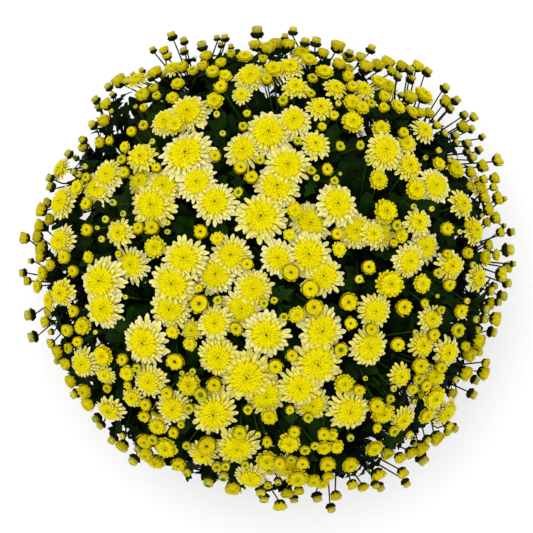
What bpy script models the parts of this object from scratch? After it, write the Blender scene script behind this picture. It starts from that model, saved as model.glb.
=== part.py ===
"""Pot chrysanthemum: a ball of yellow double blooms, buttons and buds on leafy sprays in a plain pot."""

import math
import random
from collections import namedtuple

import bmesh
import bpy
import numpy as np
from mathutils.bvhtree import BVHTree

# Sizes below are in millimetres, and make_object turns them into metres.
MM = 0.001
CLEARANCE = 0.35

# Dome that the heads stand on; the eye looks straight down on it from far above
DOME_RADIUS = 250.0
DOME_RISE = 158.0
WIDEST_Z = 196.0
RIM_SHARE = 0.985
RIM_DROP = 34.0
RIM_FROM = 218.0
EYE_HEIGHT = 1500.0
SIGHT_STEPS = 8
PHOTO_CENTRE = (266.0, 271.0)
MOST_TILT = math.radians(52.0)
# Near the rim heads turn further out: where that starts, over what width, and how far
TURN_FROM = 198.0
TURN_OVER = 36.0
TURN_STRAY = 0.14
RIM_TILT = {"open": 0.95, "low": 0.95, "opening": 1.08, "button": 1.28, "bud": 1.36}

# Skirt of heads below the widest plane: kind, how many, width range
SKIRT = (("open", 8, 26.0, 34.0), ("button", 7, 12.0, 16.0), ("bud", 7, 8.6, 11.0))
SKIRT_RADIUS = 214.0
SKIRT_DROP = 66.0
SKIRT_OUT = (0.80, 0.955)
SKIRT_STRAY = (-0.25, 0.25)
SKIRT_LIFT = (0.15, 0.60)

# Pot and soil
POT_HEIGHT = 160.0
POT_TOP_RADIUS = 106.0
POT_BASE_RADIUS = 74.0
POT_WALL = 3.0
POT_FLOOR = 4.0
POT_BAND_HEIGHT = 22.0
POT_BAND_STEP = 3.0
POT_BAND_TAPER = 1.0
POT_SIDES = 22
DRAIN_RADIUS = 6.0
DRAIN_RING = 44.0
DRAIN_COUNT = 4
DRAIN_SIDES = 8
SOIL_TOP = 146.0
HOLE_DEPTH = 26.0
HOLE_SIDES = 6
HOLE_RADIUS = 4.6

# Main stems, one for each spray: how many, how far out they stand, how far they lean, and turn
SPRAY_RINGS = ((1, 0.0, 0.0, 0.0), (6, 27.0, 30.0, 0.3), (10, 60.0, 60.0, 0.1))
SPRAY_BASE = np.array([0.0, 0.0, 118.0])
STEM_RADIUS = 3.2
STEM_SIDES = 4
STEM_UPRIGHT = 5.0
STEM_BEND = 0.45
STEM_ARCH = 10.0
STEM_END_DEPTH = 42.0

# Stalks from the main stems to the heads
STALK_RADIUS = 1.1
STALK_SIDES = 3
STALK_STRAIGHT_FROM = 0.45
STALK_BACK = 15.0
STALK_ROOM = 9.0
# Knees under a head that a stalk may take to get clear: how many, turn, shares of back and room
KNEES = ((6, 0.0, 1.0, 1.0), (4, 0.25, 0.6, 1.8))
FOOT_TRIES = 12
FOOT_LOWEST = 0.30
FOOT_LEAN = 0.70
FOOT_LEAN_COST = 1.2
SPRAYS_TRIED = 3

# Heads: half thickness as a share of the radius, how far they stand off the dome, depth of the back
THICKNESS = {"open": 0.36, "opening": 0.50, "button": 0.62, "bud": 0.95}
LIFT = {"open": 0.0, "low": -10.0, "opening": 1.0, "button": 4.0, "bud": 6.0}
BACK_SHARE = {"open": 0.26, "opening": 0.42, "button": 0.55, "bud": 0.95}
CALYX_HEIGHT = 0.24
GOLDEN_ANGLE = math.radians(137.5)

# Which heads are solids of their own size; the smaller ones are kept only near the rim
OWN_NODE_WIDTH = 28.8
FULL_FROM = 43.0
SIX_PETALS_FROM = 24.0
CUPPED_FROM = 13.0
SOLID_FROM = {"open": 0.0, "opening": 14.0, "button": 13.2, "bud": math.inf}
SOLID_FROM_RIM = {"open": 0.0, "opening": 14.0, "button": 11.2, "bud": 8.5}
RIM_HEADS_FROM = 205.0
ALWAYS_FROM = 16.0

# Bloom nodes, and how heads slide apart before anything is built
BLOOM_NODES = 40
BLOOMS_A_NODE = 3
RELAX_STEPS = 90
RELAX_REACH = 20.0
HOME_PULL = 0.05
HOME_UNTIL = 0.7
HEAD_GAP = 0.8
TIE_SHARE = 0.56
TIE_PULL = 0.25

# Leaves: outline as shares of the length, along the midrib and out from it
LEAVES_A_SPRAY = 3
LEAF_LENGTH = (46.0, 66.0)
LEAF_THICK = 1.8
LEAF_OUTLINE = ((0.24, 0.36), (0.40, 0.17), (0.62, 0.33), (0.72, 0.14), (1.00, 0.0))
LEAF_MIDDLE = 0.5
LEAF_DROOP = 0.16
LEAF_TRIES = 20
LEAF_STRAY = 0.4
LEAF_SPREAD = (0.15, 0.42)
LEAF_REACH = (0.80, 0.90)
LEAF_FOOT = (0.35, 0.95)
LEAF_BLADE_SHARE = 0.8
LEAF_FLATTEN = 1.6
LEAF_LEAST_TURN = 0.2

# Joining
WELD = 0.002
FLAT_ANGLE = math.radians(1.0)
SHARP_ANGLE = math.radians(35.0)
LAYOUT_SEED = 13

# Colour, roughness and metallic value of each kind of node
FINISHES = {
    "bloom": ((0.86, 0.72, 0.05), 0.60, 0.0),
    "spray": ((0.035, 0.085, 0.020), 0.55, 0.0),
    "soil": ((0.050, 0.032, 0.020), 0.95, 0.0),
    "pot": ((0.420, 0.155, 0.075), 0.65, 0.0),
}

# One ring of a head, in shares of the head's radius; the notch is the radius between petals
Ring = namedtuple("Ring", "sides radius rise notch notch_rise turn", defaults=(0.0, 0.0, 0.0))


def flat_bloom(petals):
    """Rings of a small open bloom: one tier of petals under a raised middle."""
    return (
        Ring(petals, 1.00, 0.34, 0.64, 0.26),
        Ring(petals, 0.52, 0.50, turn=0.5),
        Ring(1, 0.0, 0.52),
    )


# Each head from its back to its front
FORMS = {
    "calyx": (Ring(5, 0.27, 0.24),),
    "full": (
        Ring(8, 1.00, 0.12, 0.64, 0.08),
        Ring(8, 0.60, 0.20, turn=0.5),
        Ring(8, 0.78, 0.34, 0.50, 0.29, turn=0.5),
        Ring(8, 0.44, 0.38, turn=1.0),
        Ring(8, 0.54, 0.50, 0.34, 0.46, turn=1.0),
        Ring(1, 0.0, 0.56),
    ),
    "double": (
        Ring(7, 1.00, 0.14, 0.62, 0.10),
        Ring(7, 0.54, 0.24, turn=0.5),
        Ring(7, 0.72, 0.40, 0.44, 0.34, turn=0.5),
        Ring(1, 0.0, 0.46),
    ),
    "six petals": flat_bloom(6),
    "five petals": flat_bloom(5),
    "opening": (Ring(5, 1.00, 0.66, 0.70, 0.60), Ring(1, 0.0, 0.86)),
    "cupped button": (Ring(5, 0.80, 0.34), Ring(5, 1.06, 1.05), Ring(1, 0.0, 0.80)),
    "button": (Ring(5, 1.06, 1.05), Ring(1, 0.0, 0.80)),
    "bud": (Ring(5, 1.06, 0.85), Ring(1, 0.0, 1.95)),
}

# Heads seen in the photo: pixel across, pixel down, width in pixels. One pixel is 1 mm on the
# plane where the plant is widest.
OPEN_SPOTS = (
    (172, 68, 20), (251, 76, 34), (242, 95, 20), (190, 111, 44), (165, 122, 32), (137, 79, 20),
    (302, 53, 24), (290, 66, 28), (296, 87, 26), (337, 88, 24), (365, 89, 24), (386, 86, 26),
    (320, 108, 26), (295, 121, 36), (424, 131, 24), (409, 146, 22), (409, 164, 30), (432, 183, 34),
    (480, 187, 26), (462, 204, 28), (475, 230, 26), (418, 222, 30), (410, 262, 34), (451, 266, 30),
    (478, 278, 26), (60, 169, 22), (62, 202, 32), (61, 241, 32), (106, 174, 32), (141, 157, 28),
    (119, 233, 30), (102, 280, 44), (185, 155, 50), (196, 181, 36), (151, 205, 44), (217, 204, 42),
    (187, 256, 42), (232, 254, 40), (262, 219, 52), (240, 151, 36), (274, 137, 46), (314, 143, 28),
    (286, 164, 44), (277, 187, 48), (385, 154, 40), (337, 204, 42), (309, 254, 46), (373, 234, 24),
    (276, 255, 36), (322, 277, 42), (103, 309, 42), (62, 293, 28), (49, 300, 20), (145, 343, 46),
    (171, 284, 46), (84, 364, 32), (103, 374, 20), (150, 382, 34), (133, 397, 24), (173, 407, 36),
    (110, 410, 28), (252, 288, 38), (265, 333, 46), (215, 324, 32), (213, 351, 42), (321, 324, 46),
    (250, 377, 52), (299, 387, 38), (317, 368, 48), (349, 410, 38), (213, 414, 46), (237, 446, 42),
    (203, 455, 28), (251, 477, 30), (288, 471, 28), (375, 310, 32), (431, 321, 26), (424, 343, 28),
    (369, 346, 38), (447, 353, 28), (436, 379, 26), (446, 414, 28), (402, 420, 26), (401, 376, 24),
)
LOW_SPOTS = (
    (424, 248, 34), (98, 189, 34), (131, 265, 36), (166, 183, 40), (214, 276, 44), (310, 224, 40),
    (351, 230, 38), (384, 234, 34), (172, 312, 42), (242, 307, 40), (268, 396, 42), (312, 404, 36),
    (142, 181, 24), (190, 329, 22),
)
OPENING_SPOTS = (
    (125, 147, 12), (245, 57, 17), (178, 84, 15), (224, 75, 15), (211, 103, 20), (174, 98, 14),
    (180, 135, 22), (307, 62, 16), (272, 72, 18), (325, 73, 18), (349, 57, 16), (353, 102, 20),
    (359, 109, 15), (353, 121, 22), (376, 84, 16), (398, 107, 16), (423, 96, 22), (412, 112, 14),
    (80, 188, 16), (43, 273, 16), (92, 260, 12), (161, 249, 22), (219, 240, 14), (382, 130, 20),
    (379, 177, 20), (386, 212, 26), (292, 210, 18), (335, 250, 15), (438, 168, 14), (416, 190, 22),
    (455, 168, 20), (485, 258, 16), (419, 281, 20), (84, 325, 20), (104, 356, 24), (132, 373, 16),
    (159, 424, 20), (166, 447, 24), (156, 461, 20), (300, 315, 18), (190, 344, 14), (190, 385, 26),
    (344, 384, 22), (290, 444, 24), (331, 436, 14), (325, 446, 16), (335, 448, 16), (265, 460, 24),
    (298, 474, 22), (321, 483, 14), (389, 285, 28), (432, 395, 24), (427, 413, 18), (384, 414, 24),
    (374, 448, 20), (38, 286, 14), (362, 486, 14), (291, 237, 12), (401, 236, 15), (496, 255, 12),
    (269, 414, 18), (173, 331, 13),
)
BUTTON_SPOTS = (
    (118, 81, 15), (143, 95, 14), (106, 104, 13), (104, 121, 14), (132, 132, 11), (100, 143, 11),
    (83, 147, 10), (206, 56, 12), (203, 66, 11), (164, 50, 9), (255, 45, 12), (182, 67, 12),
    (155, 72, 13), (267, 79, 12), (215, 74, 14), (219, 96, 14), (154, 88, 10), (145, 126, 11),
    (247, 114, 9), (243, 127, 10), (277, 44, 15), (289, 44, 13), (268, 48, 14), (338, 46, 15),
    (339, 64, 13), (349, 69, 10), (348, 77, 12), (366, 66, 14), (378, 65, 14), (388, 62, 14),
    (350, 88, 12), (384, 97, 12), (371, 104, 9), (383, 108, 12), (333, 116, 11), (283, 102, 11),
    (402, 66, 13), (418, 66, 12), (410, 97, 14), (447, 101, 13), (463, 126, 13), (403, 133, 12),
    (420, 113, 11), (474, 117, 9), (437, 125, 9), (41, 210, 13), (47, 203, 10), (50, 219, 12),
    (39, 228, 12), (39, 236, 12), (24, 238, 12), (39, 246, 14), (40, 257, 11), (51, 265, 11),
    (66, 256, 14), (74, 271, 13), (87, 204, 13), (88, 230, 13), (125, 173, 12), (122, 160, 10),
    (139, 228, 12), (27, 281, 9), (214, 157, 14), (238, 193, 10), (254, 179, 14), (241, 168, 14),
    (153, 228, 16), (201, 232, 15), (247, 264, 14), (340, 147, 10), (360, 146, 10), (307, 172, 10),
    (327, 170, 13), (337, 234, 13), (290, 270, 18), (368, 267, 16), (262, 161, 9), (334, 183, 9),
    (359, 279, 10), (471, 172, 11), (483, 166, 13), (498, 160, 12), (470, 186, 10), (485, 198, 13),
    (498, 198, 12), (489, 209, 12), (446, 229, 14), (501, 232, 10), (446, 255, 10), (467, 253, 13),
    (502, 274, 14), (489, 245, 10), (494, 187, 9), (437, 273, 9), (467, 226, 9), (75, 312, 13),
    (45, 322, 11), (68, 330, 14), (79, 340, 12), (69, 348, 10), (56, 351, 14), (69, 363, 12),
    (125, 358, 12), (146, 405, 13), (146, 416, 13), (169, 393, 14), (174, 432, 12), (155, 436, 11),
    (145, 443, 16), (147, 451, 14), (179, 464, 14), (88, 404, 14), (85, 391, 14), (71, 381, 13),
    (122, 446, 13), (176, 361, 19), (187, 445, 10), (202, 305, 20), (237, 328, 15), (312, 292, 18),
    (312, 305, 18), (348, 302, 18), (350, 323, 13), (338, 349, 15), (293, 355, 14), (274, 300, 8),
    (282, 318, 10), (356, 388, 13), (212, 386, 17), (204, 391, 15), (275, 366, 16), (290, 409, 10),
    (240, 432, 16), (208, 444, 20), (267, 441, 12), (294, 431, 13), (304, 448, 11), (324, 433, 14),
    (327, 463, 17), (350, 464, 16), (278, 460, 14), (292, 458, 10), (300, 463, 14), (328, 476, 11),
    (312, 480, 14), (233, 488, 15), (280, 506, 13), (287, 493, 12), (336, 496, 11), (354, 486, 11),
    (299, 491, 10), (268, 485, 8), (403, 307, 19), (448, 284, 14), (460, 311, 15), (431, 335, 13),
    (457, 330, 15), (397, 344, 16), (370, 330, 13), (469, 354, 16), (479, 341, 16), (496, 319, 13),
    (491, 303, 11), (419, 365, 17), (440, 365, 14), (418, 377, 11), (426, 386, 12), (412, 388, 12),
    (452, 394, 11), (376, 405, 18), (466, 373, 15), (484, 373, 14), (437, 438, 14), (387, 453, 13),
    (400, 458, 12), (411, 453, 13), (420, 447, 16), (378, 476, 14), (403, 473, 12), (424, 303, 9),
    (438, 311, 9), (390, 398, 10), (167, 56, 9), (221, 63, 11), (231, 54, 10), (193, 71, 10),
    (157, 96, 9), (144, 108, 9), (110, 141, 9), (323, 53, 12), (312, 79, 11), (311, 95, 9),
    (322, 127, 9), (429, 113, 11), (495, 178, 11), (496, 218, 12), (508, 267, 11), (360, 57, 10),
    (392, 71, 10), (487, 222, 9), (48, 312, 10), (53, 344, 9), (108, 387, 10), (187, 472, 9),
    (217, 465, 11), (218, 300, 10), (315, 445, 9), (465, 346, 10), (486, 363, 9), (128, 385, 9),
    (263, 59, 9), (248, 409, 11), (377, 425, 10), (394, 428, 11), (264, 303, 9), (448, 432, 9),
    (192, 407, 11), (308, 417, 11), (395, 225, 11), (157, 168, 10), (296, 145, 9), (199, 288, 9),
    (393, 243, 9), (139, 368, 9), (244, 459, 9), (181, 421, 8), (119, 254, 8), (447, 423, 10),
    (227, 462, 10), (164, 74, 9), (87, 178, 9), (128, 80, 9), (484, 179, 9),
)
BUD_SPOTS = (
    (96, 100, 8), (93, 125, 9), (83, 140, 8), (153, 50, 7), (172, 36, 9), (184, 41, 8), (184, 51, 8),
    (202, 46, 10), (217, 38, 6), (225, 38, 8), (231, 47, 6), (257, 32, 12), (293, 31, 9),
    (285, 37, 7), (305, 43, 9), (316, 42, 10), (349, 54, 8), (371, 49, 9), (363, 70, 8),
    (398, 77, 8), (427, 72, 9), (445, 88, 9), (411, 79, 9), (401, 95, 6), (455, 101, 9),
    (464, 115, 8), (471, 129, 8), (482, 137, 7), (467, 144, 9), (479, 150, 8), (455, 136, 8),
    (444, 134, 8), (456, 143, 7), (69, 154, 8), (76, 158, 6), (74, 172, 7), (51, 187, 9),
    (31, 261, 6), (23, 273, 8), (98, 228, 6), (104, 239, 9), (114, 203, 9), (107, 220, 9),
    (124, 214, 8), (30, 315, 11), (33, 337, 10), (51, 332, 6), (58, 361, 7), (75, 394, 9),
    (97, 418, 9), (101, 425, 8), (113, 439, 10), (134, 460, 10), (209, 481, 11), (224, 475, 12),
    (260, 490, 10), (264, 498, 9), (278, 481, 8), (294, 499, 8), (317, 497, 10), (331, 508, 9),
    (380, 487, 9), (406, 483, 9), (422, 459, 12), (350, 437, 9), (417, 446, 7), (427, 439, 8),
    (454, 428, 9), (455, 379, 8), (472, 394, 10), (475, 380, 9), (478, 352, 9), (476, 330, 9),
    (492, 332, 10), (484, 318, 9), (475, 319, 8), (485, 310, 9), (498, 302, 7), (502, 296, 10),
    (490, 291, 9), (507, 283, 9), (494, 286, 7), (466, 301, 8), (437, 296, 5), (358, 279, 10),
    (193, 371, 8), (365, 378, 6), (408, 432, 9), (508, 250, 12), (513, 264, 6), (511, 232, 8),
    (504, 226, 5), (504, 199, 6), (481, 216, 5), (425, 158, 6), (449, 162, 7), (472, 158, 9),
    (403, 275, 5), (414, 401, 6), (126, 297, 6), (168, 232, 7), (223, 134, 8), (153, 142, 7),
    (112, 112, 6), (136, 107, 5), (142, 71, 7), (133, 76, 6), (113, 95, 7), (99, 107, 8),
    (110, 86, 8), (221, 45, 6), (151, 77, 8), (217, 115, 8), (86, 167, 7), (168, 223, 7),
    (52, 178, 8), (338, 104, 8), (315, 177, 8), (340, 174, 5), (438, 151, 7), (467, 152, 8),
    (431, 209, 7), (413, 207, 7), (459, 232, 7), (450, 109, 8), (410, 70, 9), (138, 448, 8),
    (123, 435, 7), (258, 434, 8), (393, 388, 8), (375, 483, 8), (182, 372, 6), (96, 332, 6),
    (368, 160, 7), (80, 175, 8), (415, 332, 7), (472, 265, 8),
)


def unit(vectors):
    """Vectors scaled to length one, along the last axis."""
    return vectors / np.linalg.norm(vectors, axis=-1, keepdims=True)


class Heads:
    """Every head of the plant as arrays: kind, centre, outward axis, radius and half thickness."""

    def __init__(self):
        self.kind = []
        self.centre = []
        self.axis = []
        self.radius = []

    def add(self, kind, centre, axis, radius):
        self.kind.append(kind)
        self.centre.append(centre)
        self.axis.append(axis)
        self.radius.append(radius)

    def close(self):
        self.centre = np.array(self.centre)
        self.axis = unit(np.array(self.axis))
        self.radius = np.array(self.radius)
        self.half = np.array([THICKNESS[kind] for kind in self.kind]) * self.radius
        self.home = self.centre.copy()
        self.count = len(self.kind)


def dome_spot(across, down, lift, rng):
    """Centre, axis and scale of a head at a photo pixel, along the line of sight.

    Heads grow towards the light, so inland they tilt out less than the dome slopes.
    """
    x = across - PHOTO_CENTRE[0]
    y = PHOTO_CENTRE[1] - down
    seen = math.hypot(x, y)
    drop = rng.uniform(0.0, RIM_DROP) if seen > RIM_FROM else 0.0
    stray = rng.uniform(-TURN_STRAY, TURN_STRAY)
    turned = min(max((seen - TURN_FROM) / TURN_OVER, 0.0), 1.0)
    scale = 1.0
    for _ in range(SIGHT_STEPS):
        share = min(seen * scale / DOME_RADIUS, RIM_SHARE)
        rise = DOME_RISE * math.sqrt(1.0 - share * share) - drop
        slope = math.atan2(seen * scale / DOME_RADIUS ** 2, rise / DOME_RISE ** 2)
        tilt = MOST_TILT * math.tanh(slope / MOST_TILT)
        tilt += (RIM_TILT[lift] + stray - tilt) * turned
        height = rise + LIFT[lift] * math.cos(tilt)
        scale = (EYE_HEIGHT - height) / EYE_HEIGHT
    centre = np.array([x * scale, y * scale, WIDEST_Z + height])
    turn = math.atan2(y, x)
    flat = math.sin(tilt)
    axis = np.array([flat * math.cos(turn), flat * math.sin(turn), math.cos(tilt)])
    return centre, axis, scale


def place_heads():
    """Heads at the photo's spots on the dome, then the unseen skirt below the widest plane."""
    rng = random.Random(LAYOUT_SEED)
    heads = Heads()
    seen = (
        ("open", "open", OPEN_SPOTS),
        ("open", "low", LOW_SPOTS),
        ("opening", "opening", OPENING_SPOTS),
        ("button", "button", BUTTON_SPOTS),
        ("bud", "bud", BUD_SPOTS),
    )
    for kind, lift, spots in seen:
        for across, down, width in spots:
            centre, axis, scale = dome_spot(across, down, lift, rng)
            heads.add(kind, centre, axis, 0.5 * width * scale)
    for kind, count, small, large in SKIRT:
        start = rng.uniform(0.0, 2.0 * math.pi)
        for i in range(count):
            turn = start + 2.0 * math.pi * (i + rng.uniform(*SKIRT_STRAY)) / count
            out = rng.uniform(*SKIRT_OUT)
            flat = np.array([math.cos(turn), math.sin(turn), 0.0])
            point = flat * SKIRT_RADIUS * out
            point[2] = WIDEST_Z - SKIRT_DROP * math.sqrt(1.0 - out * out)
            axis = flat + np.array([0.0, 0.0, rng.uniform(*SKIRT_LIFT)])
            heads.add(kind, point, unit(axis), 0.5 * rng.uniform(small, large))
    heads.close()
    return heads


def head_reach(axis, radius, half, way):
    """How far a flat round head reaches along a direction."""
    level = np.sum(axis * way, axis=-1)
    return np.sqrt(np.maximum(radius ** 2 * (1.0 - level ** 2) + (half * level) ** 2, 0.0))


def depth_between(heads, i, j):
    """Least depth by which heads i and j cross, over five directions, and the direction of it."""
    gap = heads.centre[j] - heads.centre[i]
    line = unit(gap + 1e-9)
    middle = unit(heads.axis[i] + heads.axis[j])
    side = np.sign(np.sum(gap * middle, axis=-1, keepdims=True) + 1e-9)
    ways = np.stack([
        line, heads.axis[i] * side, heads.axis[j] * side, middle * side, unit(line + middle * side),
    ])
    near = head_reach(heads.axis[i], heads.radius[i], heads.half[i], ways)
    far = head_reach(heads.axis[j], heads.radius[j], heads.half[j], ways)
    depth = near + far + HEAD_GAP - np.sum(gap * ways, axis=-1)
    best = np.argmin(depth, axis=0)
    rows = np.arange(len(i))
    return depth[best, rows], ways[best, rows]


def near_pairs(heads, extra):
    """Pairs of heads whose centres lie within the sum of their radii and some extra."""
    first, second = np.triu_indices(heads.count, 1)
    apart = np.linalg.norm(heads.centre[first] - heads.centre[second], axis=1)
    keep = apart < heads.radius[first] + heads.radius[second] + extra
    return first[keep], second[keep]


def group_blooms(heads):
    """Large open blooms in groups, one for each node, and the ties between those of a group.

    The blooms that cross most in the photo share a node, until few enough nodes are left.
    """
    large = [
        k for k in range(heads.count)
        if heads.kind[k] == "open" and 2.0 * heads.radius[k] >= OWN_NODE_WIDTH
    ]
    group = {k: [k] for k in large}
    ties = []
    first, second = near_pairs(heads, 0.0)
    depth, _ = depth_between(heads, first, second)
    for pair in np.argsort(-depth):
        a, b = int(first[pair]), int(second[pair])
        if len(large) - len(ties) <= BLOOM_NODES:
            break
        if a not in group or b not in group or group[a] is group[b] or depth[pair] <= 0.0:
            continue
        if len(group[a]) + len(group[b]) > BLOOMS_A_NODE:
            continue
        ties.append((a, b))
        merged = sorted(group[a] + group[b])
        for k in merged:
            group[k] = merged
    groups = []
    for k in large:
        if group[k] not in groups:
            groups.append(group[k])
    return groups, np.array(ties)


def relax(heads, groups, ties):
    """Slide heads apart where they cross, small ones most, and tied blooms into each other."""
    owner = np.full(heads.count, -1)
    for number, members in enumerate(groups):
        owner[members] = number
    first, second = near_pairs(heads, RELAX_REACH)
    apart = (owner[first] != owner[second]) | (owner[first] < 0)
    first, second = first[apart], second[apart]
    ease = 1.0 / heads.radius
    share = (ease[first] / (ease[first] + ease[second]))[:, None]
    tied_depth = TIE_SHARE * np.minimum(heads.radius[ties[:, 0]], heads.radius[ties[:, 1]])
    for step in range(RELAX_STEPS):
        depth, way = depth_between(heads, first, second)
        push = np.maximum(depth, 0.0)[:, None] * way
        move = np.zeros_like(heads.centre)
        hits = np.zeros(heads.count)
        np.add.at(move, first, -push * share)
        np.add.at(move, second, push * (1.0 - share))
        np.add.at(hits, first, depth > 0.0)
        np.add.at(hits, second, depth > 0.0)
        depth, way = depth_between(heads, ties[:, 0], ties[:, 1])
        pull = TIE_PULL * np.maximum(tied_depth - depth, 0.0)[:, None] * way
        np.add.at(move, ties[:, 0], pull)
        np.add.at(move, ties[:, 1], -pull)
        heads.centre += move / np.maximum(hits, 1.0)[:, None] ** 0.5
        if step < RELAX_STEPS * HOME_UNTIL:
            heads.centre += HOME_PULL * (heads.home - heads.centre)


def frame_at(axis, hint):
    """Two unit vectors square to an axis, the first one nearest to the hint."""
    side = hint - axis * float(np.dot(hint, axis))
    if np.linalg.norm(side) < 1e-6:
        side = np.cross(axis, np.array([0.31, 0.95, 0.05]))
    side = unit(side)
    return side, np.cross(axis, side)


def round_points(centre, axis, hint, radii, rises, turn=0.0):
    """Points round an axis, anticlockwise seen from its tip; the turn is in points."""
    side, up = frame_at(axis, hint)
    points = []
    for i, (radius, rise) in enumerate(zip(radii, rises)):
        angle = 2.0 * math.pi * (i + turn) / len(radii)
        out = side * math.cos(angle) + up * math.sin(angle)
        points.append(centre + out * radius + axis * rise)
    return points


def stitch(first, second):
    """Triangles between two rings of vertex numbers, which may differ in count."""
    faces = []
    m, n = len(first), len(second)
    i = j = 0
    while i < m or j < n:
        step_first = (i + 1) / m if m > 1 and i < m else math.inf
        step_second = (j + 1) / n if n > 1 and j < n else math.inf
        if step_first <= step_second and step_first < math.inf:
            faces.append((first[i % m], first[(i + 1) % m], second[j % n]))
            i += 1
        elif step_second < math.inf:
            faces.append((first[i % m], second[(j + 1) % n], second[j % n]))
            j += 1
        else:
            break
    return faces


def loft(rings, straight=0):
    """Closed body through rings from back to front; a ring of one point closes an end by itself.

    The first rings, as many as straight says, are an even tube and get flat four-sided faces.
    """
    points, numbers = [], []
    for one in rings:
        numbers.append(list(range(len(points), len(points) + len(one))))
        points.extend(one)
    faces = []
    for i, (first, second) in enumerate(zip(numbers[:-1], numbers[1:])):
        if i < straight - 1:
            for a in range(len(first)):
                b = (a + 1) % len(first)
                faces.append((first[a], first[b], second[b], second[a]))
        else:
            faces.extend(stitch(first, second))
    back, front = numbers[0], numbers[-1]
    for i in range(1, len(back) - 1):
        faces.append((back[0], back[i + 1], back[i]))
    for i in range(1, len(front) - 1):
        faces.append((front[0], front[i], front[i + 1]))
    return np.array(points), faces


def form_of(kind, width):
    """Which form a head of a kind and width takes."""
    if kind == "open":
        if width >= OWN_NODE_WIDTH:
            return "full" if width >= FULL_FROM else "double"
        return "six petals" if width > SIX_PETALS_FROM else "five petals"
    if kind == "button" and width > CUPPED_FROM:
        return "cupped button"
    return kind


def head_rings(form, back, axis, hint, radius):
    """Rings of a head from where its stalk ends at the back to its front."""
    rings = []
    for one in FORMS[form]:
        if one.sides == 1:
            rings.append([back + axis * one.rise * radius])
        elif one.notch == 0.0:
            radii = [one.radius * radius] * one.sides
            rises = [one.rise * radius] * one.sides
            rings.append(round_points(back, axis, hint, radii, rises, one.turn))
        else:
            radii = [one.radius * radius, one.notch * radius] * one.sides
            rises = [one.rise * radius, one.notch_rise * radius] * one.sides
            rings.append(round_points(back, axis, hint, radii, rises, 2.0 * one.turn))
    return rings


def tube_rings(path, end_way, hint, sides, radius):
    """Rings of an even tube along a path, mitred at its bends, its end square to a direction."""
    legs = [unit(after - before) for before, after in zip(path[:-1], path[1:])]
    rings = [np.array(round_points(path[0], legs[0], hint, [radius] * sides, [0.0] * sides))]
    for i, leg in enumerate(legs):
        plane = end_way if i == len(legs) - 1 else unit(leg + legs[i + 1])
        rise = (path[i + 1] - rings[-1]) @ plane / float(np.dot(leg, plane))
        rings.append(rings[-1] + rise[:, None] * leg)
    return rings


def stalked_head(path, form, axis, hint, radius):
    """Stalk along a path with its head on the end, as one closed body."""
    rings = tube_rings(path, axis, hint, STALK_SIDES, STALK_RADIUS)
    return loft(rings + head_rings(form, path[-1], axis, hint, radius), len(rings))


def fattened(points, faces, distance):
    """Points moved out along their vertex normals."""
    normals = np.zeros_like(points)
    for face in faces:
        corners = points[list(face)]
        across = np.cross(corners[1] - corners[0], corners[-1] - corners[0])
        normals[list(face)] += across
    length = np.linalg.norm(normals, axis=1, keepdims=True)
    return points + distance * normals / np.maximum(length, 1e-9)


class Crowd:
    """Every body placed so far with its node, which bodies cross, and what each node is cut by."""

    def __init__(self):
        self.node = []
        self.shape = []
        self.tree = []
        self.low = []
        self.high = []
        self.cuts = {}

    def add(self, node, points, faces):
        self.node.append(node)
        self.shape.append((points, faces))
        self.tree.append(BVHTree.FromPolygons([tuple(point) for point in points], faces))
        self.low.append(points.min(axis=0))
        self.high.append(points.max(axis=0))

    def cut(self, body, shape):
        """Have the node of a body cut clear of a shape."""
        self.cuts.setdefault(self.node[body], []).append(shape)

    def crossed(self, node, points, faces):
        """Numbers of the bodies of other nodes that a body would cross or nearly touch."""
        if not self.node:
            return []
        fat = fattened(points, faces, CLEARANCE)
        below = np.array(self.low) <= fat.max(axis=0)
        above = np.array(self.high) >= fat.min(axis=0)
        near = np.nonzero(np.all(below & above, axis=1))[0]
        tree = BVHTree.FromPolygons([tuple(point) for point in fat], faces)
        return [int(k) for k in near if self.node[k] != node and tree.overlap(self.tree[k])]


def head_hint(axis, number):
    """Direction that a head's first petal points in; each head is turned by its own amount."""
    upright = abs(axis[2]) > 0.99
    side, up = frame_at(axis, np.array([1.0, 0.0, 0.0]) if upright else np.array([0.0, 0.0, 1.0]))
    turn = GOLDEN_ANGLE * number
    return side * math.cos(turn) + up * math.sin(turn)


def head_back(heads, k):
    """Back of a head, where its petals start."""
    return heads.centre[k] - heads.axis[k] * BACK_SHARE[heads.kind[k]] * heads.radius[k]


def place_blooms(heads, groups, crowd):
    """The large open blooms; where two nodes still touch, the later one is cut clear."""
    for number, members in enumerate(groups):
        for k in members:
            axis, radius = heads.axis[k], heads.radius[k]
            back = head_back(heads, k)
            rings = head_rings(form_of("open", 2.0 * radius), back, axis, head_hint(axis, k), radius)
            crowd.add(f"bloom_{number + 1:02d}", *loft([[back]] + rings))
    for k, (node, shape) in enumerate(zip(crowd.node, crowd.shape)):
        for other in crowd.crossed(node, *shape):
            if other > k:
                crowd.cut(other, shape)


def spray_plan():
    """Foot of each main stem in the soil and the direction of the cone that its spray fills."""
    feet, ways = [], []
    for count, foot_ring, lean, phase in SPRAY_RINGS:
        for i in range(count):
            turn = 2.0 * math.pi * (i + phase) / count
            flat = np.array([math.cos(turn), math.sin(turn), 0.0])
            tilt = math.radians(lean)
            feet.append(flat * foot_ring)
            ways.append(flat * math.sin(tilt) + np.array([0.0, 0.0, math.cos(tilt)]))
    return feet, np.array(ways)


def dome_reach(way):
    """Distance from the base of the sprays to the dome along a direction."""
    far = 0.0
    while far < 2.0 * DOME_RADIUS:
        point = SPRAY_BASE + way * (far + 1.0)
        rise = max(point[2] - WIDEST_Z, 0.0)
        if (point[0] ** 2 + point[1] ** 2) / DOME_RADIUS ** 2 + (rise / DOME_RISE) ** 2 > 1.0:
            break
        far += 1.0
    return far


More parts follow.
